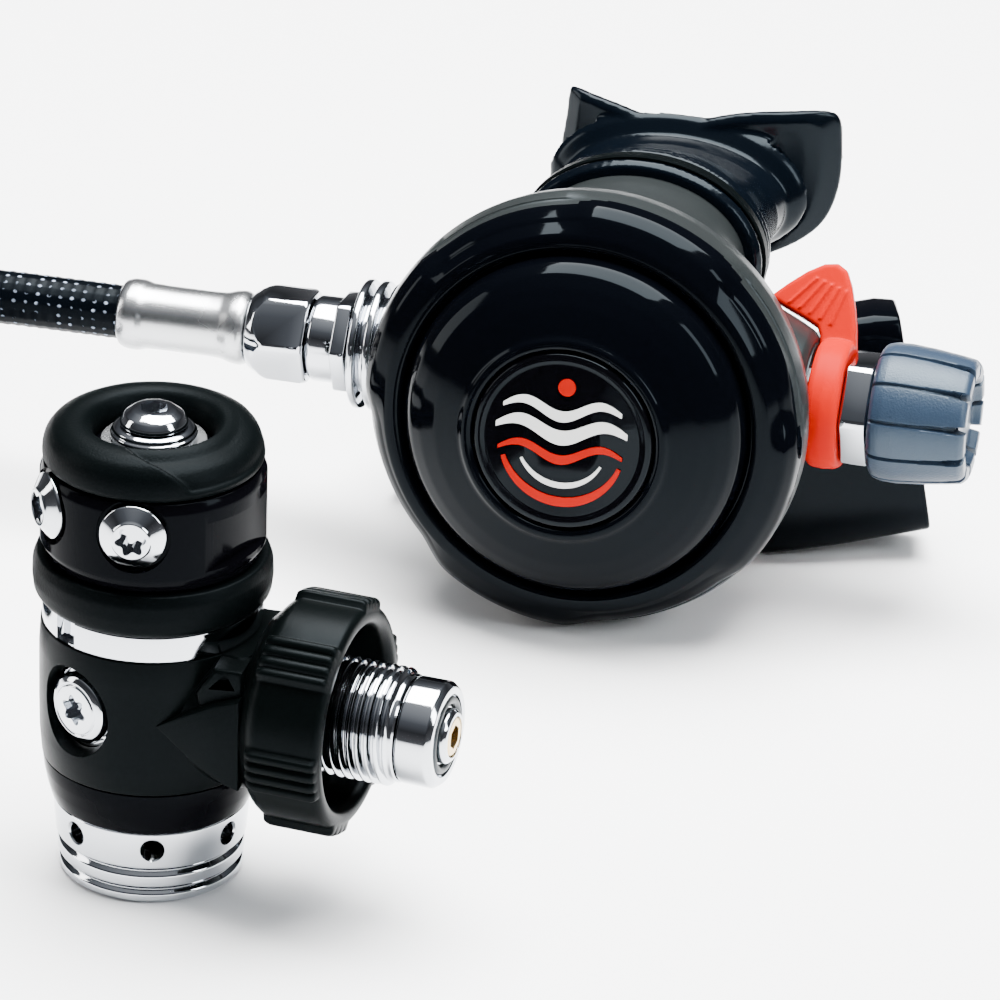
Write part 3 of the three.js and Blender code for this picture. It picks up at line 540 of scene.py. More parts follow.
def hose_line(step=0.8):
    """The hose's centre: straight out of the ferrule, then a widening coil."""
    points = []
    s = 0
    while s < TANGENT:
        place = FERRULE_END + HOSE_WAY * s
        points.append((place.x, place.y, hose_height(s)))
        s += step
    angle = 0
    while angle < COIL_SWEEP:
        radius = COIL_FIRST_RADIUS + (TAIL_RADIUS - COIL_FIRST_RADIUS) * eased(angle / COIL_SWEEP)
        run = TANGENT + math.radians(angle) * COIL_FIRST_RADIUS
        points.append(on_coil(radius, COIL_FIRST_TURN + angle, hose_height(run)))
        angle += math.degrees(step / radius)
    points.append(TAIL_START)
    return [Vector(p) for p in points]


def line_length(line):
    return sum((b - a).length for a, b in zip(line, line[1:]))


STRANDS = 9
STRAND_STEP = 5
WEAVE_HEIGHT = 0.16


def braided_tube(name, line, radius, segments=54):
    """A tube along the line whose surface rises and falls with the braid."""
    points, marks = [], []
    run = 0
    side = Vector((0, 0, 1))
    for i, here in enumerate(line):
        way = (line[min(i + 1, len(line) - 1)] - line[max(i - 1, 0)]).normalized()
        side = (side - way * side.dot(way)).normalized()
        other = way.cross(side)
        if i:
            run += (here - line[i - 1]).length
        for k in range(segments):
            u, v = k / segments * STRANDS, run / STRAND_STEP
            weave = math.sin(math.tau * (u + v)) * math.sin(math.tau * (u - v))
            a = k / segments * math.tau
            r = radius - WEAVE_HEIGHT + WEAVE_HEIGHT * weave
            points.append(here + (side * math.cos(a) + other * math.sin(a)) * r)
            marks.append((u, v))
    mesh = bpy.data.meshes.new(name)
    mesh.from_pydata([tuple(p * MM) for p in points], [], joined(len(line), segments))
    layer = mesh.uv_layers.new(name="UVMap")
    for loop in mesh.loops:
        layer.data[loop.index].uv = marks[loop.vertex_index]
    for polygon in mesh.polygons:
        us = [layer.data[i].uv.x for i in polygon.loop_indices]
        if max(us) - min(us) > STRANDS / 2:
            for i in polygon.loop_indices:
                if layer.data[i].uv.x < STRANDS / 2:
                    layer.data[i].uv.x += STRANDS
    return smoothed(in_scene(name, mesh), 60)


TAIL_START = on_coil(TAIL_RADIUS, TAIL_TURN, HOSE_FLOOR)
HOSE_LINE = hose_line()
HOSE_LENGTH = line_length(HOSE_LINE)
hose = piece(braided_tube("hose_braid", HOSE_LINE, HOSE_RADIUS), "body", "braid", ("hose", "hose_coil"))

tail_angle = math.radians(TAIL_TURN)
TAIL = aimed(TAIL_START, (-math.sin(tail_angle), math.cos(tail_angle), 0))
end_ferrule = piece(lathe("end_ferrule", [
    (0, 1), (6, 1), (7.1, 1.6), (7.1, 5.4), (6.6, 7), (6.6, 24), (5.6, 26.4), (0, 26.4),
], TAIL, 48, 0.5), "body", "ferrule_metal", "hose_end_ferrule")
end_fitting = fused(
    prism("end_fitting", hexagon(12.2), 26.7, 32, TAIL, 0.5),
    lathe("end_stem", [(0, 31.5), (4.7, 31.5), (4.7, 42), (0, 42)], TAIL, 48, 0.4),
)
cut(end_fitting, rod("end_bore", 2.2, 34, 45, TAIL))
piece(end_fitting, "body", "chrome", "hose_end_fitting")


def tie():
    """The flat strap round the coil's turns, following their section with round corners."""
    outer = [(39.6, 0.1), (77.4, 0.1), (77.4, 14.2), (39.6, 14.2)]
    inner = [(40.8, 1.1), (76.2, 1.1), (76.2, 13.2), (40.8, 13.2)]
    place = Matrix.Translation(Vector((*COIL_CENTRE, 0))) @ turned_z(TIE_TURN)
    flat = place @ Matrix.Rotation(math.radians(90), 4, "X")
    strap = prism("strap", outer, -4, 4, flat, 0.4)
    return cut(strap, prism("strap_hole", inner, -6, 6, flat, 0, 1))


piece(tie(), "body", "rubber_black", "hose_tie")

# ---------- First stage: end cap, body and sleeve ----------

VENT_COUNT = 7
VENT_FIRST_TURN = 2
VENT_HEIGHT = 12


def star(radius, lobes=6):
    """The outline of a plug's six-lobed key."""
    out = []
    for i in range(lobes * 8):
        a = i / (lobes * 8) * math.tau
        r = radius * (0.84 + 0.16 * math.cos(lobes * a))
        out.append((r * math.cos(a), r * math.sin(a)))
    return out


def end_cap():
    cap = lathe("end_cap_skin", [
        (0, 0), (16.9, 0), (17.7, 0.8), (17.8, 2.1), (16.8, 2.9), (17.9, 3.9), (18, 6.1), (17, 7),
        (18.3, 8.1), (18.9, 15.6), (16.5, 15.6), (16.5, 23.5), (14.9, 23.5), (14.9, 3.2), (0, 3.2),
    ], None, 128, 0.35)
    for i in range(VENT_COUNT):
        way = sideways(VENT_HEIGHT, VENT_FIRST_TURN + i * 360 / VENT_COUNT)
        vent = [(0, 12), (2.1, 12), (2.1, 18.1), (2.6, 18.8), (2.6, 22), (0, 22)]
        cut(cap, lathe("vent", vent, way, 32, 0))
    return cap


def first_stage_body():
    body = lathe("body_skin", [
        (0, 23.9), (16.8, 23.9), (16.8, 16.1), (18.2, 16.1), (18.2, 53.4), (21, 53.4), (21, 58.4),
        (11.2, 58.4), (11.2, 66), (9.5, 66), (9.5, 69), (11.2, 69), (11.2, 74), (0, 74),
    ], None, 128, 0.25)
    cut(body, rod("stem_way", 4.3, 22, 28), rod("chamber", 6.5, 27, 35.1), rod("crown_seat", 5.3, 34, 47))
    cut(body, rod("turret_well", 5.6, 60, 76))
    cut(body, rod("inlet_seat", 8.5, 9.5, 20, INLET))
    for turn in HIGH_PRESSURE_TURNS:
        way = sideways(HIGH_PRESSURE_HEIGHT, turn)
        cut(body, lathe("port", [(0, 10), (5.8, 10), (5.8, 17), (7.6, 17), (7.6, 20), (0, 20)], way, 48, 0))
    return cut(body, block("notch", (-2.6, -2.6, 19.2), (2.6, 2.6, 24), upright(56, -50)))


GUSSET_START = (3, -20.6)
GUSSET_WAY = (13, -3.4)


def gusset_frame():
    """Across the front of the inlet's fairing: X towards the inlet, Y up, Z out to the front."""
    across = Vector((*GUSSET_WAY, 0)).normalized()
    out = across.cross(UP)
    place = Matrix((across, UP, out)).transposed().to_4x4()
    return Matrix.Translation(Vector((*GUSSET_START, 0))) @ place


def body_sleeve():
    sleeve = lathe("sleeve_skin", [
        (18.5, 25.1), (21, 25.1), (21.4, 30), (21.5, 36), (21.5, 48), (21.2, 53.2), (18.5, 53.2),
    ], None, 144, 0.3)
    frame_of_gusset = gusset_frame()
    wedge = prism("wedge", [
        (-1.6, 40.4), (2.4, 36.8), (7, 32.8), (12, 29.8), (14.6, 29), (14.6, 47.9), (9, 46),
        (3.4, 43.2),
    ], -9, 1.5, frame_of_gusset, 0.35, 2)
    fairing = prism("fairing", [
        (8.5, 35), (14.6, 32), (14.6, 52.9), (9, 52.9), (5.4, 47.4),
    ], -9, -0.7, frame_of_gusset, 0.9, 3)
    window = prism("window", [(8, 48.6), (13.2, 48.9), (11.4, 52.4)], -3.2, 2, frame_of_gusset, 0, 1)
    collar = lathe("collar", [
        (0, 12), (17.6, 12), (17.2, 19.5), (17.4, 22.2), (16.6, 23.7), (0, 23.7),
    ], INLET, 96, 0.6)
    fused(sleeve, cut(fairing, window), wedge, collar)
    cut(sleeve, rod("above", 40, 53.2, 70), rod("below", 40, 10, 25.1))
    cut(sleeve, rod("core", 18.5, 20, 60, None, 96), rod("inlet_hole", 8.5, 10, 30, INLET))
    for turn in HIGH_PRESSURE_TURNS:
        way = sideways(HIGH_PRESSURE_HEIGHT, turn)
        sink = [(0, 12), (8.2, 12), (8.2, 19.6), (9.2, 21.2), (9.2, 26), (0, 26)]
        cut(sleeve, lathe("sink", sink, way, 64, 0))
    return sleeve


piece(end_cap(), "body", "chrome", "end_cap")
piece(first_stage_body(), "body", "chrome", "first_stage_body")
piece(lathe("band_skin", [
    (18.5, 16), (19.2, 16), (20, 19), (20.6, 22), (20.9, 24.9), (18.5, 24.9),
], None, 128, 0.3), "body", "gloss_black", "lower_band", FINISHES["coated_metal"])
piece(body_sleeve(), "body", "matte_black", "body_sleeve")


PLUGS = (
    ("low_pressure", LOW_PRESSURE_HEIGHT, LOW_PRESSURE_TURNS, "turret", 2.6, [
        (0, 13.4), (4.7, 13.4), (4.7, 20.3), (6.2, 20.3), (6.4, 20.8), (6.3, 21.3), (3.9, 22.9), (3.6, 23.3),
        (3.2, 23.3), (0, 23.2),
    ], 23.3),
    ("high_pressure", HIGH_PRESSURE_HEIGHT, HIGH_PRESSURE_TURNS, "body", 2.4, [
        (0, 10.9), (5.5, 10.9), (5.5, 17.3), (6.8, 17.3), (7.1, 18.4), (6.6, 19.8), (5.4, 20.5), (5.1, 20.2),
        (4.8, 20.6), (0, 20.9),
    ], 20.9),
)
for pressure, height, turns, body, depth, profile, top in PLUGS:
    for i, turn in enumerate(turns):
        way = sideways(height, turn)
        head = lathe(f"{pressure}_head_{i + 1}", profile, way, 64, 0.3)
        cut(head, prism("key", star(3.1), top - depth, top + 2, way, 0, 1))
        piece(head, body, "chrome", f"{pressure}_plug_{i + 1}")

# ---------- First stage: turret ----------

FACET_TURN = 55


def turret():
    shell = lathe("turret_skin", [
        (19, 58.8), (19, 67.9), (20.6, 67.9), (21.4, 70.4), (21.4, 84), (20.6, 85.9), (12.2, 86),
        (12.2, 88.2), (5.7, 88.2), (5.7, 84), (11.6, 84), (11.6, 58.8),
    ], None, 144, 0.4)
    for turn in LOW_PRESSURE_TURNS:
        way = sideways(LOW_PRESSURE_HEIGHT, turn)
        port = [(0, 10), (5, 10), (5, 20), (7, 20), (7.4, 21.2), (7.4, 24), (0, 24)]
        cut(shell, lathe("port", port, way, 48, 0))
    cut(shell, block("flat", (-5, -12, 19.2), (5, 12, 26), upright(76.4, FACET_TURN)))
    # The facet's faces take the second material, the one with the painted reflection.
    way = outward(FACET_TURN)
    for polygon in shell.data.polygons:
        if polygon.normal.dot(way) > 0.999 and polygon.center.dot(way) > 19 * MM:
            polygon.material_index = 1
    return shell


def swoosh(a, r, h):
    """Lowers the cap's shoulder on its right side, behind a step that sweeps outwards."""
    turn = (math.degrees(a) + 90 + 180) % 360 - 180
    start = -30 + (r - 12.8) * 5.6
    fall = smooth_step(clamped((turn - start) / 7) * clamped((125 - turn) / 70))
    weight = clamped((r - 13.2) / 3) * clamped((h - 87.6) / 2.4)
    return r - 0.5 * fall * weight, h - 1.7 * fall * weight


# The second material paints a lighter reflection on the facet.
piece(turret(), "turret", "coated_metal", "turret").data.materials.append(FACET_PAINTED_REFLECTION)
piece(lathe("bumper_skin", [
    (19.3, 58.8), (21.6, 58.8), (22.5, 60), (22.8, 62.5), (22.7, 65.4), (21.9, 67.5), (19.3, 67.5),
], None, 128, 0.5), "turret", "rubber_black", "turret_bumper")
piece(lathe("cap_skin", [
    (12.6, 86.3), (20.4, 86.3), (20.9, 87.2), (20.9, 89), (20.4, 91), (19, 92.8), (16.8, 93.9),
    (14.6, 94.2), (12.9, 93.8), (11.9, 92.6), (11.4, 90.6), (11.4, 88.7), (12.6, 88.7),
], None, 240, 0.9, 4, swoosh, 50), "turret", "rubber_black", "turret_cover")
piece(lathe("washer_skin", [(5.6, 88.5), (10, 88.5), (10, 90.1), (5.6, 90.1)], None, 96, 0.25), "body",
      "ferrule_metal", "turret_washer")


def turret_bolt():
    bolt = lathe("bolt_skin", [
        (0, 62), (5.2, 62), (5.2, 90.4), (8.2, 90.4), (8.2, 91.6), (7.7, 91.9), (7.7, 92.5), (6.9, 92.9),
        (0, 92.9),
    ], None, 96, 0.25)
    cross = aimed((0, 0, 79), (1, 0, 0))
    cut(bolt, rod("gas_way", 2.2, 60, 89), rod("cross_way", 1.8, -8, 8, cross))
    return cut(bolt, rod("seat", 4.4, 86, 95))


piece(turret_bolt(), "body", "chrome", "turret_bolt")
dome = lathe("dome_skin", [
    (0, 87), (4.1, 87), (4.1, 93.1), (6.4, 93.1), (6.4, 93.9), (5.6, 95.2), (4.2, 96.1), (3.2, 96.3),
    (0, 96.3),
], None, 96, 0.3)
cut(dome, prism("dome_key", hexagon(5, 0.2), 93.4, 98, None, 0, 1))
piece(dome, "body", "chrome", "end_port_plug")

# ---------- First stage: DIN inlet ----------

PAD_FIRST = 138
PAD_STEP = 60
THREAD_PITCH = 1.814


def grip_pads(a, r, h):
    """Raises six pads round the handwheel, each with three grooves."""
    if r < 20.7 or h < 27.2:
        return r, h
    off = (math.degrees(a) - PAD_FIRST + PAD_STEP / 2) % PAD_STEP - PAD_STEP / 2
    pad = smooth_step((12.5 - abs(off)) / 2.2)
    groove = sum(math.exp(-(((off - g) / 1) ** 2)) for g in (-6, 0, 6))
    return r + 1.45 * pad - 0.6 * groove, h


def din_wheel():
    return lathe("wheel_skin", [
        (8.5, 24), (17.3, 24), (18.2, 25.2), (20.4, 26.9), (21.5, 28.6), (21.5, 41), (20.4, 42),
        (18.6, 42), (17.6, 40.6), (17.2, 32.5), (16.6, 31), (8.5, 31),
    ], INLET, 360, 0.9, 4, grip_pads, 50)


def din_thread():
    """A sleeve with one rounded thread: each column of points is lifted a pitch further round."""
    columns, per_turn, low, high = 120, 10, 34.6, 51.6
    laps = math.ceil((high - low) / THREAD_PITCH) + 2
    count = laps * per_turn + 1
    start = [(8.5, 31.3), (15.8, 31.3), (15.8, 33.2), (15.2, 33.8), (10.4, 34.2)]
    end = [(10.4, 52.2), (10.1, 52.5), (8.5, 52.5)]
    points = []
    for c in range(columns + 1):
        a = c / columns * math.tau
        column = list(start)
        for k in range(count):
            h = low + (k / per_turn - 1 + c / columns) * THREAD_PITCH
            crest = smooth_step(1.35 * (1 - abs(2 * (k / per_turn % 1) - 1)) - 0.15)
            fade = smooth_step((h - low) / 1.2) * smooth_step((high - h) / 1.2)
            column.append((10.35 + 1.1 * crest * fade, min(max(h, low), high)))
        column += end
        points += [(r * math.cos(a), r * math.sin(a), h) for r, h in column]
    faces = joined(columns + 1, len(column), (False, False))
    return mesh_object("thread_skin", points, faces, INLET, 40)


def din_nose():
    nose = lathe("nose_skin", [
        (0, 10), (8.2, 10), (8.2, 52.8), (10.1, 52.8), (10.3, 53.3), (10.3, 58.8), (9.3, 60), (7.9, 60),
        (7.9, 58.2), (5.7, 58.2), (5.7, 59.4), (0, 59.4),
    ], INLET, 96, 0.3)
    return cut(nose, rod("gas", 3.2, 8, 42, INLET), rod("filter_seat", 4.2, 40, 62, INLET))


piece(din_wheel(), "din_wheel", "matte_black", "din_wheel")
piece(din_thread(), "din_wheel", "chrome", "din_thread")
piece(din_nose(), "body", "chrome", "din_nose")
seal_section = [(6.75 + 0.85 * math.cos(k * math.tau / 12), 59.3 + 0.85 * math.sin(k * math.tau / 12))
                for k in range(12)]
piece(lathe("nose_seal", seal_section, INLET, 72, 0), "body", "seal_rubber", "din_o_ring")
retainer = lathe("retainer_skin", [
    (0, 53.9), (3.9, 53.9), (3.9, 60.9), (3.4, 61.3), (0, 61.3),
], INLET, 64, 0.2)
piece(cut(retainer, prism("retainer_key", hexagon(4.2, 0.2), 52, 63, INLET, 0, 1)), "body", "brass",
      "filter_retainer")
piece(lathe("retainer_ring", [
    (3.95, 59.5), (5.4, 59.5), (5.3, 60.6), (4.6, 61.3), (3.95, 61.4),
], INLET, 72, 0.2), "body", "chrome")

# ---------- Second stage: in its own frame, X along the barrel, Y backwards, Z up ----------

FRONT = SECOND @ Matrix.Rotation(math.radians(90), 4, "X")
EXHAUST = SECOND @ aimed((0, 0, -EXHAUST_DROP), (0, 1, 0))


def faced(profile):
    """A profile of (radius, depth behind the ring's plane) as heights out of the front."""
    return [(r, -depth) for r, depth in profile]


def grips(a, r, h):
    """Four shallow scallops in the ring's front bevel."""
    wave = 0.5 - 0.5 * math.cos(4 * (a - math.radians(71)))
    hollow = smooth_step((wave - 0.28) / 0.44)
    weight = smooth_step((r - 40.6) / 1.6) * smooth_step((h + 3) / 3)
    return r - 1.1 * hollow * weight, h - 1.9 * hollow * weight


def oval_section(half_width, half_height, depth, rise, count=72, power=2):
    return [(x, depth, rise + z) for x, z in oval(half_width, half_height, count, power)]


def tube_of(name, sections):
    """An oval tube backwards from the case, by (half width, half height, depth, rise)."""
    return loft(name, [oval_section(*section) for section in sections], SECOND)


def nozzle_room():
    return tube_of("nozzle_room", [(20.8, 14.8, 12, NOZZLE_RISE), (20.8, 14.8, 54, NOZZLE_RISE)])


def second_stage_case():
    shell = lathe("case_skin", faced([
        (0, 37), (20, 37), (31, 30.5), (38.5, 22.5), (43.3, 14), (43, 1), (41, 1), (41, 3.6), (38, 3.6),
        (38, 13), (36, 20.8), (29.2, 28.6), (19, 35), (0, 35),
    ]), FRONT, 128, 2, 5)
    nozzle = tube_of("nozzle", [
        (26.5, 19.5, 16, 20.6), (25.4, 18.9, 26, 20.8), (24.2, 18, 34, 21), (23.3, 17.3, 41, 21),
        (23, 17, 53, 21),
    ])
    inside = lathe("inside", faced([
        (0, 35), (19, 35), (29.2, 28.6), (36, 20.8), (38, 13), (38, 3.6), (41, 3.6), (41, 0), (0, 0),
    ]), FRONT, 96, 0)
    fused(shell, nozzle, rod("boss", 13.5, 30, 38.5, EXHAUST, 96))
    cut(shell, inside, nozzle_room(), rod("boss_bore", 11.5, 18, 40, EXHAUST))
    tunnel = rod("tunnel", 12.2, -43.5, 42.6, ALONG, 96)
    cut(tunnel, block("front_clear", (-60, 0, -30), (60, 14.6, 30), SECOND))
    cut(tunnel, block("top_clear", (-24, 0, 0), (24, 60, 30), SECOND))
    shoulder = lathe("shoulder", [
        (0, 20), (19.4, 20), (19.4, 31), (17.9, 34.6), (16.1, 38.6), (14.7, 41.2), (13.2, 42.3), (0, 42.3),
    ], ALONG, 96, 0.4)
    cut(shoulder, block("shoulder_front", (0, 0, -30), (60, 15.4, 30), SECOND))
    cut(shoulder, block("shoulder_low", (0, 0, -40), (60, 60, 2), SECOND))
    cut(shoulder, block("shoulder_back", (0, 44, -30), (60, 70, 30), SECOND), nozzle_room())
    fused(shell, tunnel, shoulder)
    cut(shell, rod("barrel_hole", 9.3, -50, 45, ALONG, 96))
    return cut(shell, block("window", (-26, 8, -7), (8, 20, 7), SECOND))


RING_PROFILE = [
    (36.6, -6.6), (37.6, -7.4), (39.6, -7.2), (43.6, -5), (45.4, -2.6), (46, 0.4), (46, 6),
    (44.9, 11.6), (43.3, 12), (43.3, 0.7), (39.6, 0.7), (39.6, -4.6), (36.6, -4.6),
]
COVER_PROFILE = [
    (0, -16.4), (19, -16.4), (19, -17.8), (19.8, -18.4), (21, -18.3), (21.9, -17.4), (23.2, -16.9),
    (27.4, -15.2), (31, -13.2), (33.4, -11.4), (34.9, -9.4), (35.6, -7.4), (35.6, -4.2), (38.6, -4.2),
    (38.6, -2.6), (34, -2.6), (33.2, -7.4), (28.6, -11.8), (22, -14.9), (4, -14.9), (4, -1.2), (0, -1.2),
]
ring = lathe("ring_skin", faced(RING_PROFILE), FRONT, 240, 0.9, 4, grips, 50)
piece(ring, "body", "gloss_black", "front_ring")
ring.data.materials.append(CASE_FINISH)
RING_AXIS = (FRONT.to_3x3() @ UP).normalized()
for polygon in ring.data.polygons:
    reach = polygon.center - SECOND.translation * MM
    depth = -reach.dot(RING_AXIS) / MM
    if depth > 0.2 and (reach + RING_AXIS * depth * MM).length > 44.2 * MM:
        polygon.material_index = 1
cover = lathe("cover_skin", faced(COVER_PROFILE), FRONT, 192, 0.7, 4)
piece(cover, "purge_cover", "gloss_black", "purge_cover")
piece(lathe("badge_skin", faced([
    (0, -16.7), (18.7, -16.7), (18.7, -17.6), (18.2, -18.3), (17.2, -18.5), (16.2, -18.2), (8, -18.38),
    (0, -18.42),
]), FRONT, 128, 0.3), "purge_cover", "badge", "purge_badge")

BADGE_FRONT = 18.35


def printed(name, lower, upper, look):
    """A thin raised strip on the badge between two edges of as many points, in the plane of its face."""
    count = len(lower)
    points = [(x, y, h) for h in (BADGE_FRONT, BADGE_FRONT + 0.42) for x, y in lower + upper]
    up = 2 * count
    faces = [(0, count, count + up, up), (count - 1, count - 1 + up, 2 * count - 1 + up, 2 * count - 1)]
    for i in range(count - 1):
        a, b = i, count + i
        faces += [(a, a + 1, b + 1, b), (a + up, b + up, b + 1 + up, a + 1 + up)]
        faces += [(a, a + up, a + 1 + up, a + 1), (b, b + 1, b + 1 + up, b + up)]
    piece(mesh_object(name, points, faces, FRONT, 40), "purge_cover", "badge", (), look)


def wave_band(left, right, height, rise, swell, thick, count=40):
    """The lower and upper edges of a strip that follows one and a half waves."""
    lower, upper = [], []
    for i in range(count + 1):
        t = i / count
        x = left + (right - left) * t
        y = height + swell * math.sin(t * 3 * math.pi) + rise * t
        half = thick / 2 * math.sin(math.pi * (0.06 + 0.88 * t)) ** 0.6
        lower.append((x, y - half))
        upper.append((x, y + half))
    return lower, upper


def arc_band(radius, width, start, end, centre=(0, 0), count=48):
    """The outer and inner edges of a crescent between two angles."""
    outer, inner = [], []
    for i in range(count + 1):
        t = i / count
        a = math.radians(start + (end - start) * t)
        half = width / 2 * (1 if end - start == 360 else 0.45 + 0.55 * math.sin(math.pi * t))
        outer.append((centre[0] + (radius + half) * math.cos(a), centre[1] + (radius + half) * math.sin(a)))
        inner.append((centre[0] + (radius - half) * math.cos(a), centre[1] + (radius - half) * math.sin(a)))
    return outer, inner


printed("badge_wave_1", *wave_band(-12.5, 12, 6.6, 0.4, 1.5, 2.2), PRINT_WHITE)
printed("badge_wave_2", *wave_band(-13.8, 13.4, 2.2, 0.4, 1.6, 3), PRINT_WHITE)
printed("badge_wave_3", *wave_band(-13.2, 12.6, -2.6, 0.4, 1.5, 1.9), PRINT_RED)
printed("badge_arc_1", *arc_band(12.8, 1.9, 200, 340), PRINT_RED)
printed("badge_arc_2", *arc_band(9.3, 1.1, 208, 332), PRINT_WHITE)
printed("badge_dot", *arc_band(0.9, 1.8, 0, 360, (0.4, 11.6)), PRINT_RED)

piece(second_stage_case(), "body", "matte_black", "second_stage_case", CASE_FINISH)

# ---------- Second stage: Venturi lever, collar and adjusting knob ----------

TAB_OUTLINE = [
    (43.2, 8), (50.2, 8), (50.2, 12), (49.6, 16), (48.6, 20.4), (47.2, 25), (45.8, 28), (43.8, 29.2),
    (41, 28.8), (37.6, 26.8), (34.2, 24), (31.2, 21.2), (31, 20.1), (34.4, 18.6), (38.6, 16.8),
    (41.4, 15.4), (42.2, 13.8),
]
TAB_TURN = 28


def venturi_lever():
    ring = lathe("lever_ring", [
        (9.3, 43.2), (12.6, 43.2), (13.3, 44.2), (13.5, 46.5), (13.2, 49), (12.6, 50), (9.3, 50),
    ], ALONG, 96, 0.4)
    lean = (
        SECOND
        @ Matrix.Translation(Vector((0, BARREL_DEPTH, 0)))
        @ Matrix.Rotation(math.radians(90 - TAB_TURN), 4, "X")
    )
    tab = prism("tab", TAB_OUTLINE, -2, 2, lean, 0.9, 3)
    ridges = []
    for k in range(5):
        x0, y0, x1, y1 = 34.6 + 2.3 * k, 19.6 - 0.9 * k, 40.4 + 1.6 * k, 25.6 - 0.5 * k
        outline = [(x0, y0), (x0 + 0.7, y0), (x1, y1), (x1 - 0.7, y1)]
        ridges.append(prism("ridge", outline, 1.7, 2.35, lean, 0.1, 1))
    lever = melted(fused(ring, tab, *ridges), 0.22, 5, 0.5)
    return cut(lever, rod("lever_bore", 9.3, 40, 53, ALONG, 96))


PETALS = 11


def petals(a, r, h):
    """Eleven petals with narrow grooves between them that open into notches at the knob's far end."""
    if r < 7:
        return r, h
    step = 360 / PETALS
    from_groove = step / 2 - abs(math.degrees(a) % step - step / 2)
    opening = smooth_step((h - 70) / 5)
    groove = 1 - smooth_step((from_groove - 0.7 - 1.7 * opening) / 1.5)
    weight = smooth_step((r - 8) / 3)
    drop = 2.4 * groove * smooth_step((h - 74.6) / 1.4) * smooth_step((r - 7) / 2)
    return r - (0.7 + 1.6 * opening) * groove * weight, h - drop


def adjustment_knob():
    return lathe("knob_skin", [
        (3.3, 56.4), (12.9, 56.4), (13.9, 57.2), (14.4, 59), (14.5, 62), (14.1, 67), (13.4, 72.6),
        (12.9, 75.6), (12, 76.6), (9.4, 76.6), (8.6, 74.8), (0, 74.4), (0, 67), (3.3, 67),
    ], ALONG, 528, 0.5, 3, petals, 40)


piece(venturi_lever(), "venturi_lever", "red_plastic", "venturi_lever")
collar = prism("collar_skin", hexagon(21.4, 1.2), 50.3, 56, ALONG, 0.5)
piece(cut(collar, rod("collar_bore", 3.4, 48, 58, ALONG)), "body", "chrome", "knob_collar")
# The knob wears the finish with the painted bluish sheen.
piece(adjustment_knob(), "adjustment_knob", "matte_black", "adjustment_knob", KNOB_PAINTED_SHEEN)

# ---------- Second stage: fins, inlet fitting, nut and ferrule ----------

fins = [(7.2, -44.2)]
for fin in (-46.3, -49.65, -53):
    half = [(10.4, 1.15), (13.4, 0.85), (13.7, 0.4)]
    fins += [(r, fin + d) for r, d in half] + [(r, fin - d) for r, d in reversed(half)]
fins.append((7.2, -54.4))
piece(lathe("fins_skin", fins, ALONG, 128, 0.25), "body", "chrome", "heat_exchanger")


def inlet_fitting():
    made = prism("inlet_hex", hexagon(19, 0.8), -58.3, -55.1, ALONG, 0.4)
    neck = lathe("inlet_neck", [
        (0, -64), (8.4, -64), (9.1, -63.2), (9.1, -58.1), (0, -58.1),
    ], ALONG, 96, 0.4)
    stem = rod("inlet_stem", 6.2, -72, -18, ALONG, 64)
    fused(made, neck, stem)
    return cut(made, rod("inlet_bore", 2.6, -73, -20, ALONG), rod("orifice_room", 4.6, -30.5, -10, ALONG))


def hose_nut():
    made = prism("nut_hex", hexagon(18, 0.5), -77.6, -64.3, ALONG, 0.3)
    rounding = lathe("nut_round", [
        (0, -77.6), (7.8, -77.6), (8.6, -76.4), (9.9, -74), (10.5, -71.8), (10.5, -66), (9.7, -64.3),
        (0, -64.3),
    ], ALONG, 96, 0.5)
    combined(made, [rounding], "INTERSECT")
    return cut(made, rod("nut_bore", 6.5, -80, -60, ALONG))


piece(inlet_fitting(), "body", "chrome", "inlet_fitting")
piece(hose_nut(), "hose_nut", "chrome", "hose_nut")
piece(lathe("ferrule_skin", [
    (2.6, -106), (6.2, -106), (7, -105.5), (7.5, -104), (7.5, -101.6), (6.95, -100), (6.85, -95),
    (6.85, -86.4), (7, -83.6), (7.7, -81.4), (7.9, -79.4), (7.2, -77.9), (5.9, -77.9), (5.9, -72.4),
    (2.6, -72.4),
], ALONG, 96, 0.6), "body", "ferrule_metal", "hose_ferrule")

# ---------- Second stage: exhaust tee and mouthpiece ----------

# Distance along the barrel, front, back, bottom and top of the tee at each station.
TEE_STATIONS = [
    (-48, 46.6, 63.4, -36.4, -3), (-44, 45, 63, -37.8, -2), (-36, 42.4, 61, -39.8, -0.9),
    (-30, 40.6, 58.6, -41, -0.8), (-22, 39.8, 57, -41.6, -0.8), (0, 39.8, 56, -41.6, -0.8),
    (22, 39.8, 57, -41.6, -0.8), (30, 40.6, 58.6, -41, -0.6), (36, 42, 61, -39.9, 2.5),
    (41, 43.6, 62.8, -38.9, 8), (46, 45.6, 64.6, -37.8, 11.8), (53, 48.6, 66.2, -36, 12.8),
    (60, 50.8, 66.6, -34, 12.8),
]


def tee_section(x, front, back, low, high, trim=0, count=72):
    """A round-cornered box section whose end slants outwards towards the bottom."""
    half_depth, half_height = (back - front) / 2 - trim, (high - low) / 2 - trim
    middle = ((back + front) / 2, (high + low) / 2)
    points = []
    for y, z in oval(half_depth, half_height, count, 6, middle):
        lean = -(0.22 * (z + 5) + 0.28 * (y - 50)) * (abs(x) / 60) ** 3
        points.append((x + (lean if x > 0 else -lean), y, z))
    return points


def tee_body(name, trim=0, reach=1):
    stations = [(x * reach, *rest) for x, *rest in TEE_STATIONS]
    return loft(name, [tee_section(*station, trim) for station in stations], SECOND)


def exhaust_tee():
    tee = rounded_off(tee_body("tee_skin"), 0.7, 3, 50)
    cut(tee, tee_body("tee_hollow", 2, 1.06))
    return cut(tee, rod("tee_hole", 13.8, 30, 46, EXHAUST, 96))


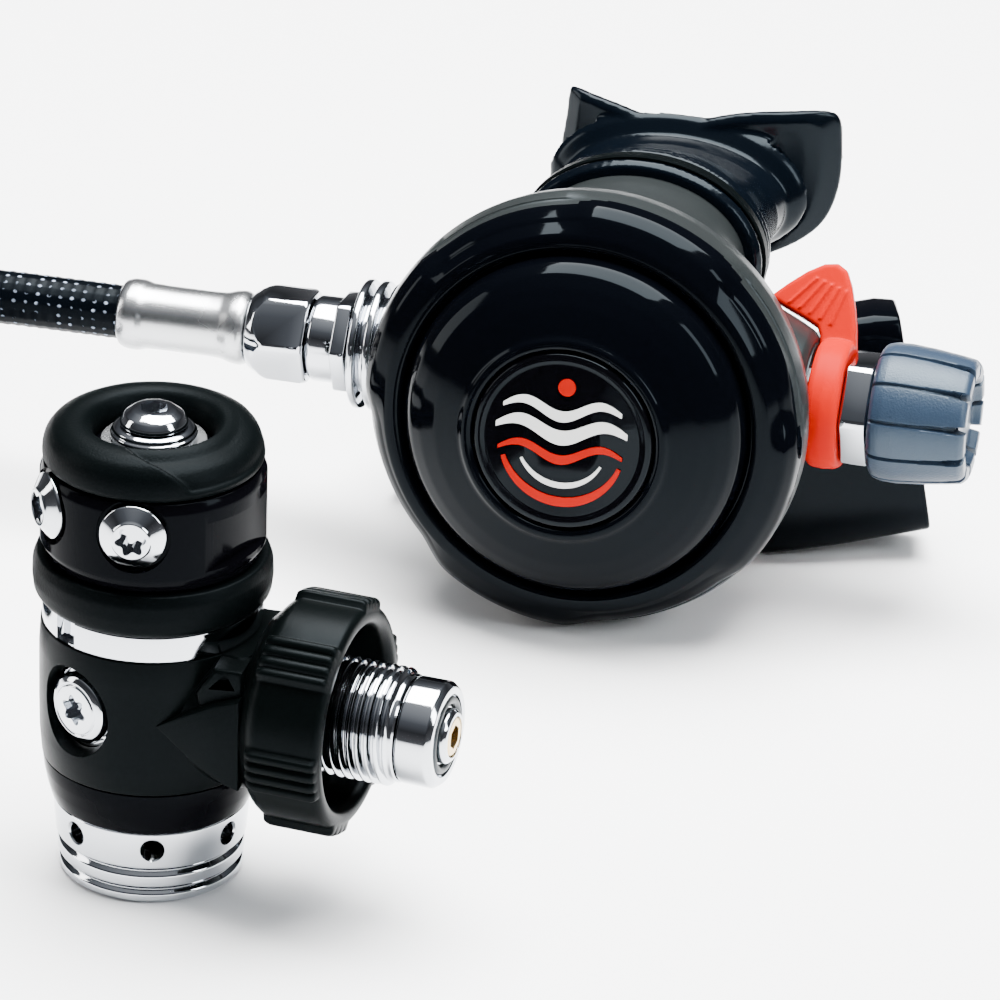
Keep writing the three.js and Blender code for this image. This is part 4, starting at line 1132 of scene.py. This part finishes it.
SHIELD_OUTLINE = [
    (-26.2, 42.6), (-25.4, 42.9), (-20, 42), (-14.5, 41.2), (-9, 39.9), (-3, 39.1), (3, 39.8),
    (8.5, 41.8), (15, 43), (24, 43.4), (30, 43.6), (32.6, 42.2), (33.3, 38), (33.7, 30), (33, 24),
    (31, 18.6), (27, 14.8), (21.5, 11.9), (15, 9.8), (7, 9), (-4, 9), (-13, 10.2), (-21, 13.2),
    (-26, 17.5), (-27.8, 23), (-27.4, 30), (-26.6, 36),
]


def curved(points, rounds=2):
    """The outline with its corners cut away in turn, until it runs as a smooth curve."""
    for _ in range(rounds):
        finer = []
        for i, p in enumerate(points):
            q = points[(i + 1) % len(points)]
            finer.append((0.75 * p[0] + 0.25 * q[0], 0.75 * p[1] + 0.25 * q[1]))
            finer.append((0.25 * p[0] + 0.75 * q[0], 0.25 * p[1] + 0.75 * q[1]))
        points = finer
    return points


def shield():
    """The mouthpiece's flange: a plate whose two ends bend away from the case."""
    outline = curved(SHIELD_OUTLINE)[::-1]
    centre = (0, 26)
    rings = 9
    sections = []
    for side in (1, -1):
        scales = [k / rings for k in range(1, rings + 1)][::side]
        for k in scales:
            thick = 1.8 * math.sqrt(max(1 - max((k - 0.9) / 0.1, 0) ** 2 * 0.8, 0))
            row = []
            for x, z in outline:
                px, pz = centre[0] + (x - centre[0]) * k, centre[1] + (z - centre[1]) * k
                row.append((px, 84.5 + 8.5 * (px / 31) ** 2 - side * thick, pz))
            sections.append(row)
    return loft("shield", sections, SECOND)


def mouthpiece():
    sleeve = tube_of("sleeve", [
        (25.4, 19.2, 45, 21), (25.8, 19.6, 45.6, 21), (25.8, 19.6, 57, 21), (25.3, 19, 60, 21.2),
        (24.6, 17.4, 65, 21.6), (23.8, 15.2, 71, 22), (23.6, 13.4, 77, 22.6), (24.6, 13.4, 81.6, 23.6),
        (27.4, 15.2, 83.6, 25), (28.6, 16, 85, 25.4),
    ])
    ribs = [
        tube_of("rib", [
            (w - 1, h - 1, d - 0.8, 21), (w, h, d - 0.4, 21), (w, h, d + 0.4, 21),
            (w - 1, h - 1, d + 0.8, 21),
        ])
        for w, h, d in ((26.5, 20.3, 46.6), (26.5, 20.3, 54.4), (26.3, 20.1, 57))
    ]
    lugs = [bite_lug(x) for x in (-17, 17)]
    skin = melted(gathered("mouthpiece_skin", [sleeve, shield(), *ribs, *lugs]), 0.45, 6, 0.5)
    socket = tube_of("socket", [(23.3, 17.3, 40, 21), (23.3, 17.3, 55, 21)])
    funnel = tube_of("funnel", [(18, 10, 50, 23), (18, 10, 62, 23)])
    bore = tube_of("bore", [(15, 8.2, 58, 23), (15, 8.2, 100, 23)])
    return cut(skin, socket, funnel, bore)


def bite_lug(x):
    """One bite lug: a flat tab behind the flange with a raised rim at its end."""
    place = SECOND @ Matrix.Translation(Vector((x, 0, 23)))
    tab = block("lug", (-6, 87.2, -2.2), (6, 98, 2.2), place)
    rim = block("lug_rim", (-6, 95.6, -4), (6, 98.4, 4), place)
    return fused(tab, rim)


piece(exhaust_tee(), "body", "gloss_black", "exhaust_tee")
piece(mouthpiece(), "body", "silicone_black", "mouthpiece")
clamp = tube_of("clamp", [
    (26.5, 20.3, 48.5, 21), (26.9, 20.7, 48.8, 21), (26.9, 20.7, 51.2, 21), (26.5, 20.3, 51.5, 21),
])
clamp_hole = tube_of("clamp_hole", [(26.1, 19.9, 47, 21), (26.1, 19.9, 53, 21)])
piece(cut(clamp, clamp_hole), "body", "rubber_black", "mouthpiece_clamp")

# ---------- Springs ----------------------------------------


def coil_of_wire(name, radius, wire, low, high, turns, matrix=None, steps=20, sides=10):
    """A round-wire compression spring along local Z."""
    low, high = low + wire, high - wire
    count = round(turns * steps)
    pitch = (high - low) / (2 * math.pi * turns)
    length = math.hypot(radius, pitch)
    points = []
    for i in range(count + 1):
        a = 2 * math.pi * turns * i / count
        out = Vector((math.cos(a), math.sin(a), 0))
        centre = out * radius + UP * (low + (high - low) * i / count)
        up = Vector((pitch * math.sin(a), -pitch * math.cos(a), radius)) / length
        for k in range(sides):
            b = 2 * math.pi * k / sides
            points.append(centre + out * (wire * math.cos(b)) + up * (wire * math.sin(b)))
    return mesh_object(name, points, joined(count + 1, sides), matrix)


def spring(name, shape, matrix, fixed, nodes=()):
    """A steel spring of the given shape along the matrix's Z, on the body in place of its CAD nodes, with a
    mesh of its own.
    """
    radius, wire, low, high, turns = shape
    obj = piece(coil_of_wire(name, radius, wire, low, high, turns, matrix), "body", "steel", nodes)
    axis, anchor = matrix.to_3x3() @ UP, matrix @ Vector((0, 0, fixed)) * MM
    tuple(axis)
    tuple(anchor)
    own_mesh(obj)


spring("main_spring_coil", (9.4, 1.3, 8.3, 23.8, 4.5), Matrix(), 23.8, "main_spring")
spring("purge_spring_coil", (9, 0.6, -14.6, 1.8, 3), BACKWARDS, 1.8, "purge_spring")
spring("poppet_spring_coil", (4.2, 0.6, 4.1, 12.95, 3), ALONG, 12.95, "poppet_spring")
spring("spindle_spring_coil", (4.2, 0.6, 12.95, 21.8, 3), ALONG, 12.95)

# ---------- Studio: in metres ----------

MIDDLE = Vector((0.05, 0.08, 0.04))

def studio():
    corners = [(-3000, -3000, 0), (3000, -3000, 0), (3000, 4000, 0), (-3000, 4000, 0)]
    floor = mesh_object("floor", corners, [(0, 1, 2, 3)])
    floor.data.materials.append(finish("paper", (0.93, 0.93, 0.93), 0, 0.7, smear=0.02))
    world = bpy.data.worlds.new("world")
    bpy.context.scene.world = world
    world.use_nodes = True
    tree = world.node_tree
    place = tree.nodes.new("ShaderNodeTexCoord")
    split = tree.nodes.new("ShaderNodeSeparateXYZ")
    ramp = tree.nodes.new("ShaderNodeValToRGB")
    link(tree, place.outputs["Generated"], split.inputs["Vector"])
    link(tree, split.outputs["Z"], ramp.inputs["Fac"])
    stops = ramp.color_ramp.elements
    stops[0].color = (0.16, 0.16, 0.17, 1)
    stops[1].color = (0.62, 0.64, 0.67, 1)
    stops.new(0.35).color = (0.05, 0.052, 0.058, 1)
    stops.new(0.62).color = (0.15, 0.16, 0.18, 1)
    link(tree, ramp.outputs["Color"], tree.nodes["Background"].inputs["Color"])
    tree.nodes["Background"].inputs["Strength"].default_value = 0.9


def softbox(name, place, size, power, colour=(1, 1, 1)):
    data = bpy.data.lights.new(name, "AREA")
    data.shape = "RECTANGLE"
    data.size, data.size_y = size
    data.energy = power
    data.color = colour
    lamp = in_scene(name, data)
    lamp.location = place
    lamp.rotation_mode = "QUATERNION"
    lamp.rotation_quaternion = (MIDDLE - Vector(place)).to_track_quat("-Z", "Y")


studio()
softbox("overhead", (0.15, 0.25, 1.1), (1.1, 0.9), 118)
softbox("left", (-1.15, 0.15, 0.5), (0.3, 0.7), 6, (1, 0.97, 0.94))
softbox("right", (0.95, -0.45, 0.7), (0.3, 0.6), 12, (0.94, 0.97, 1))
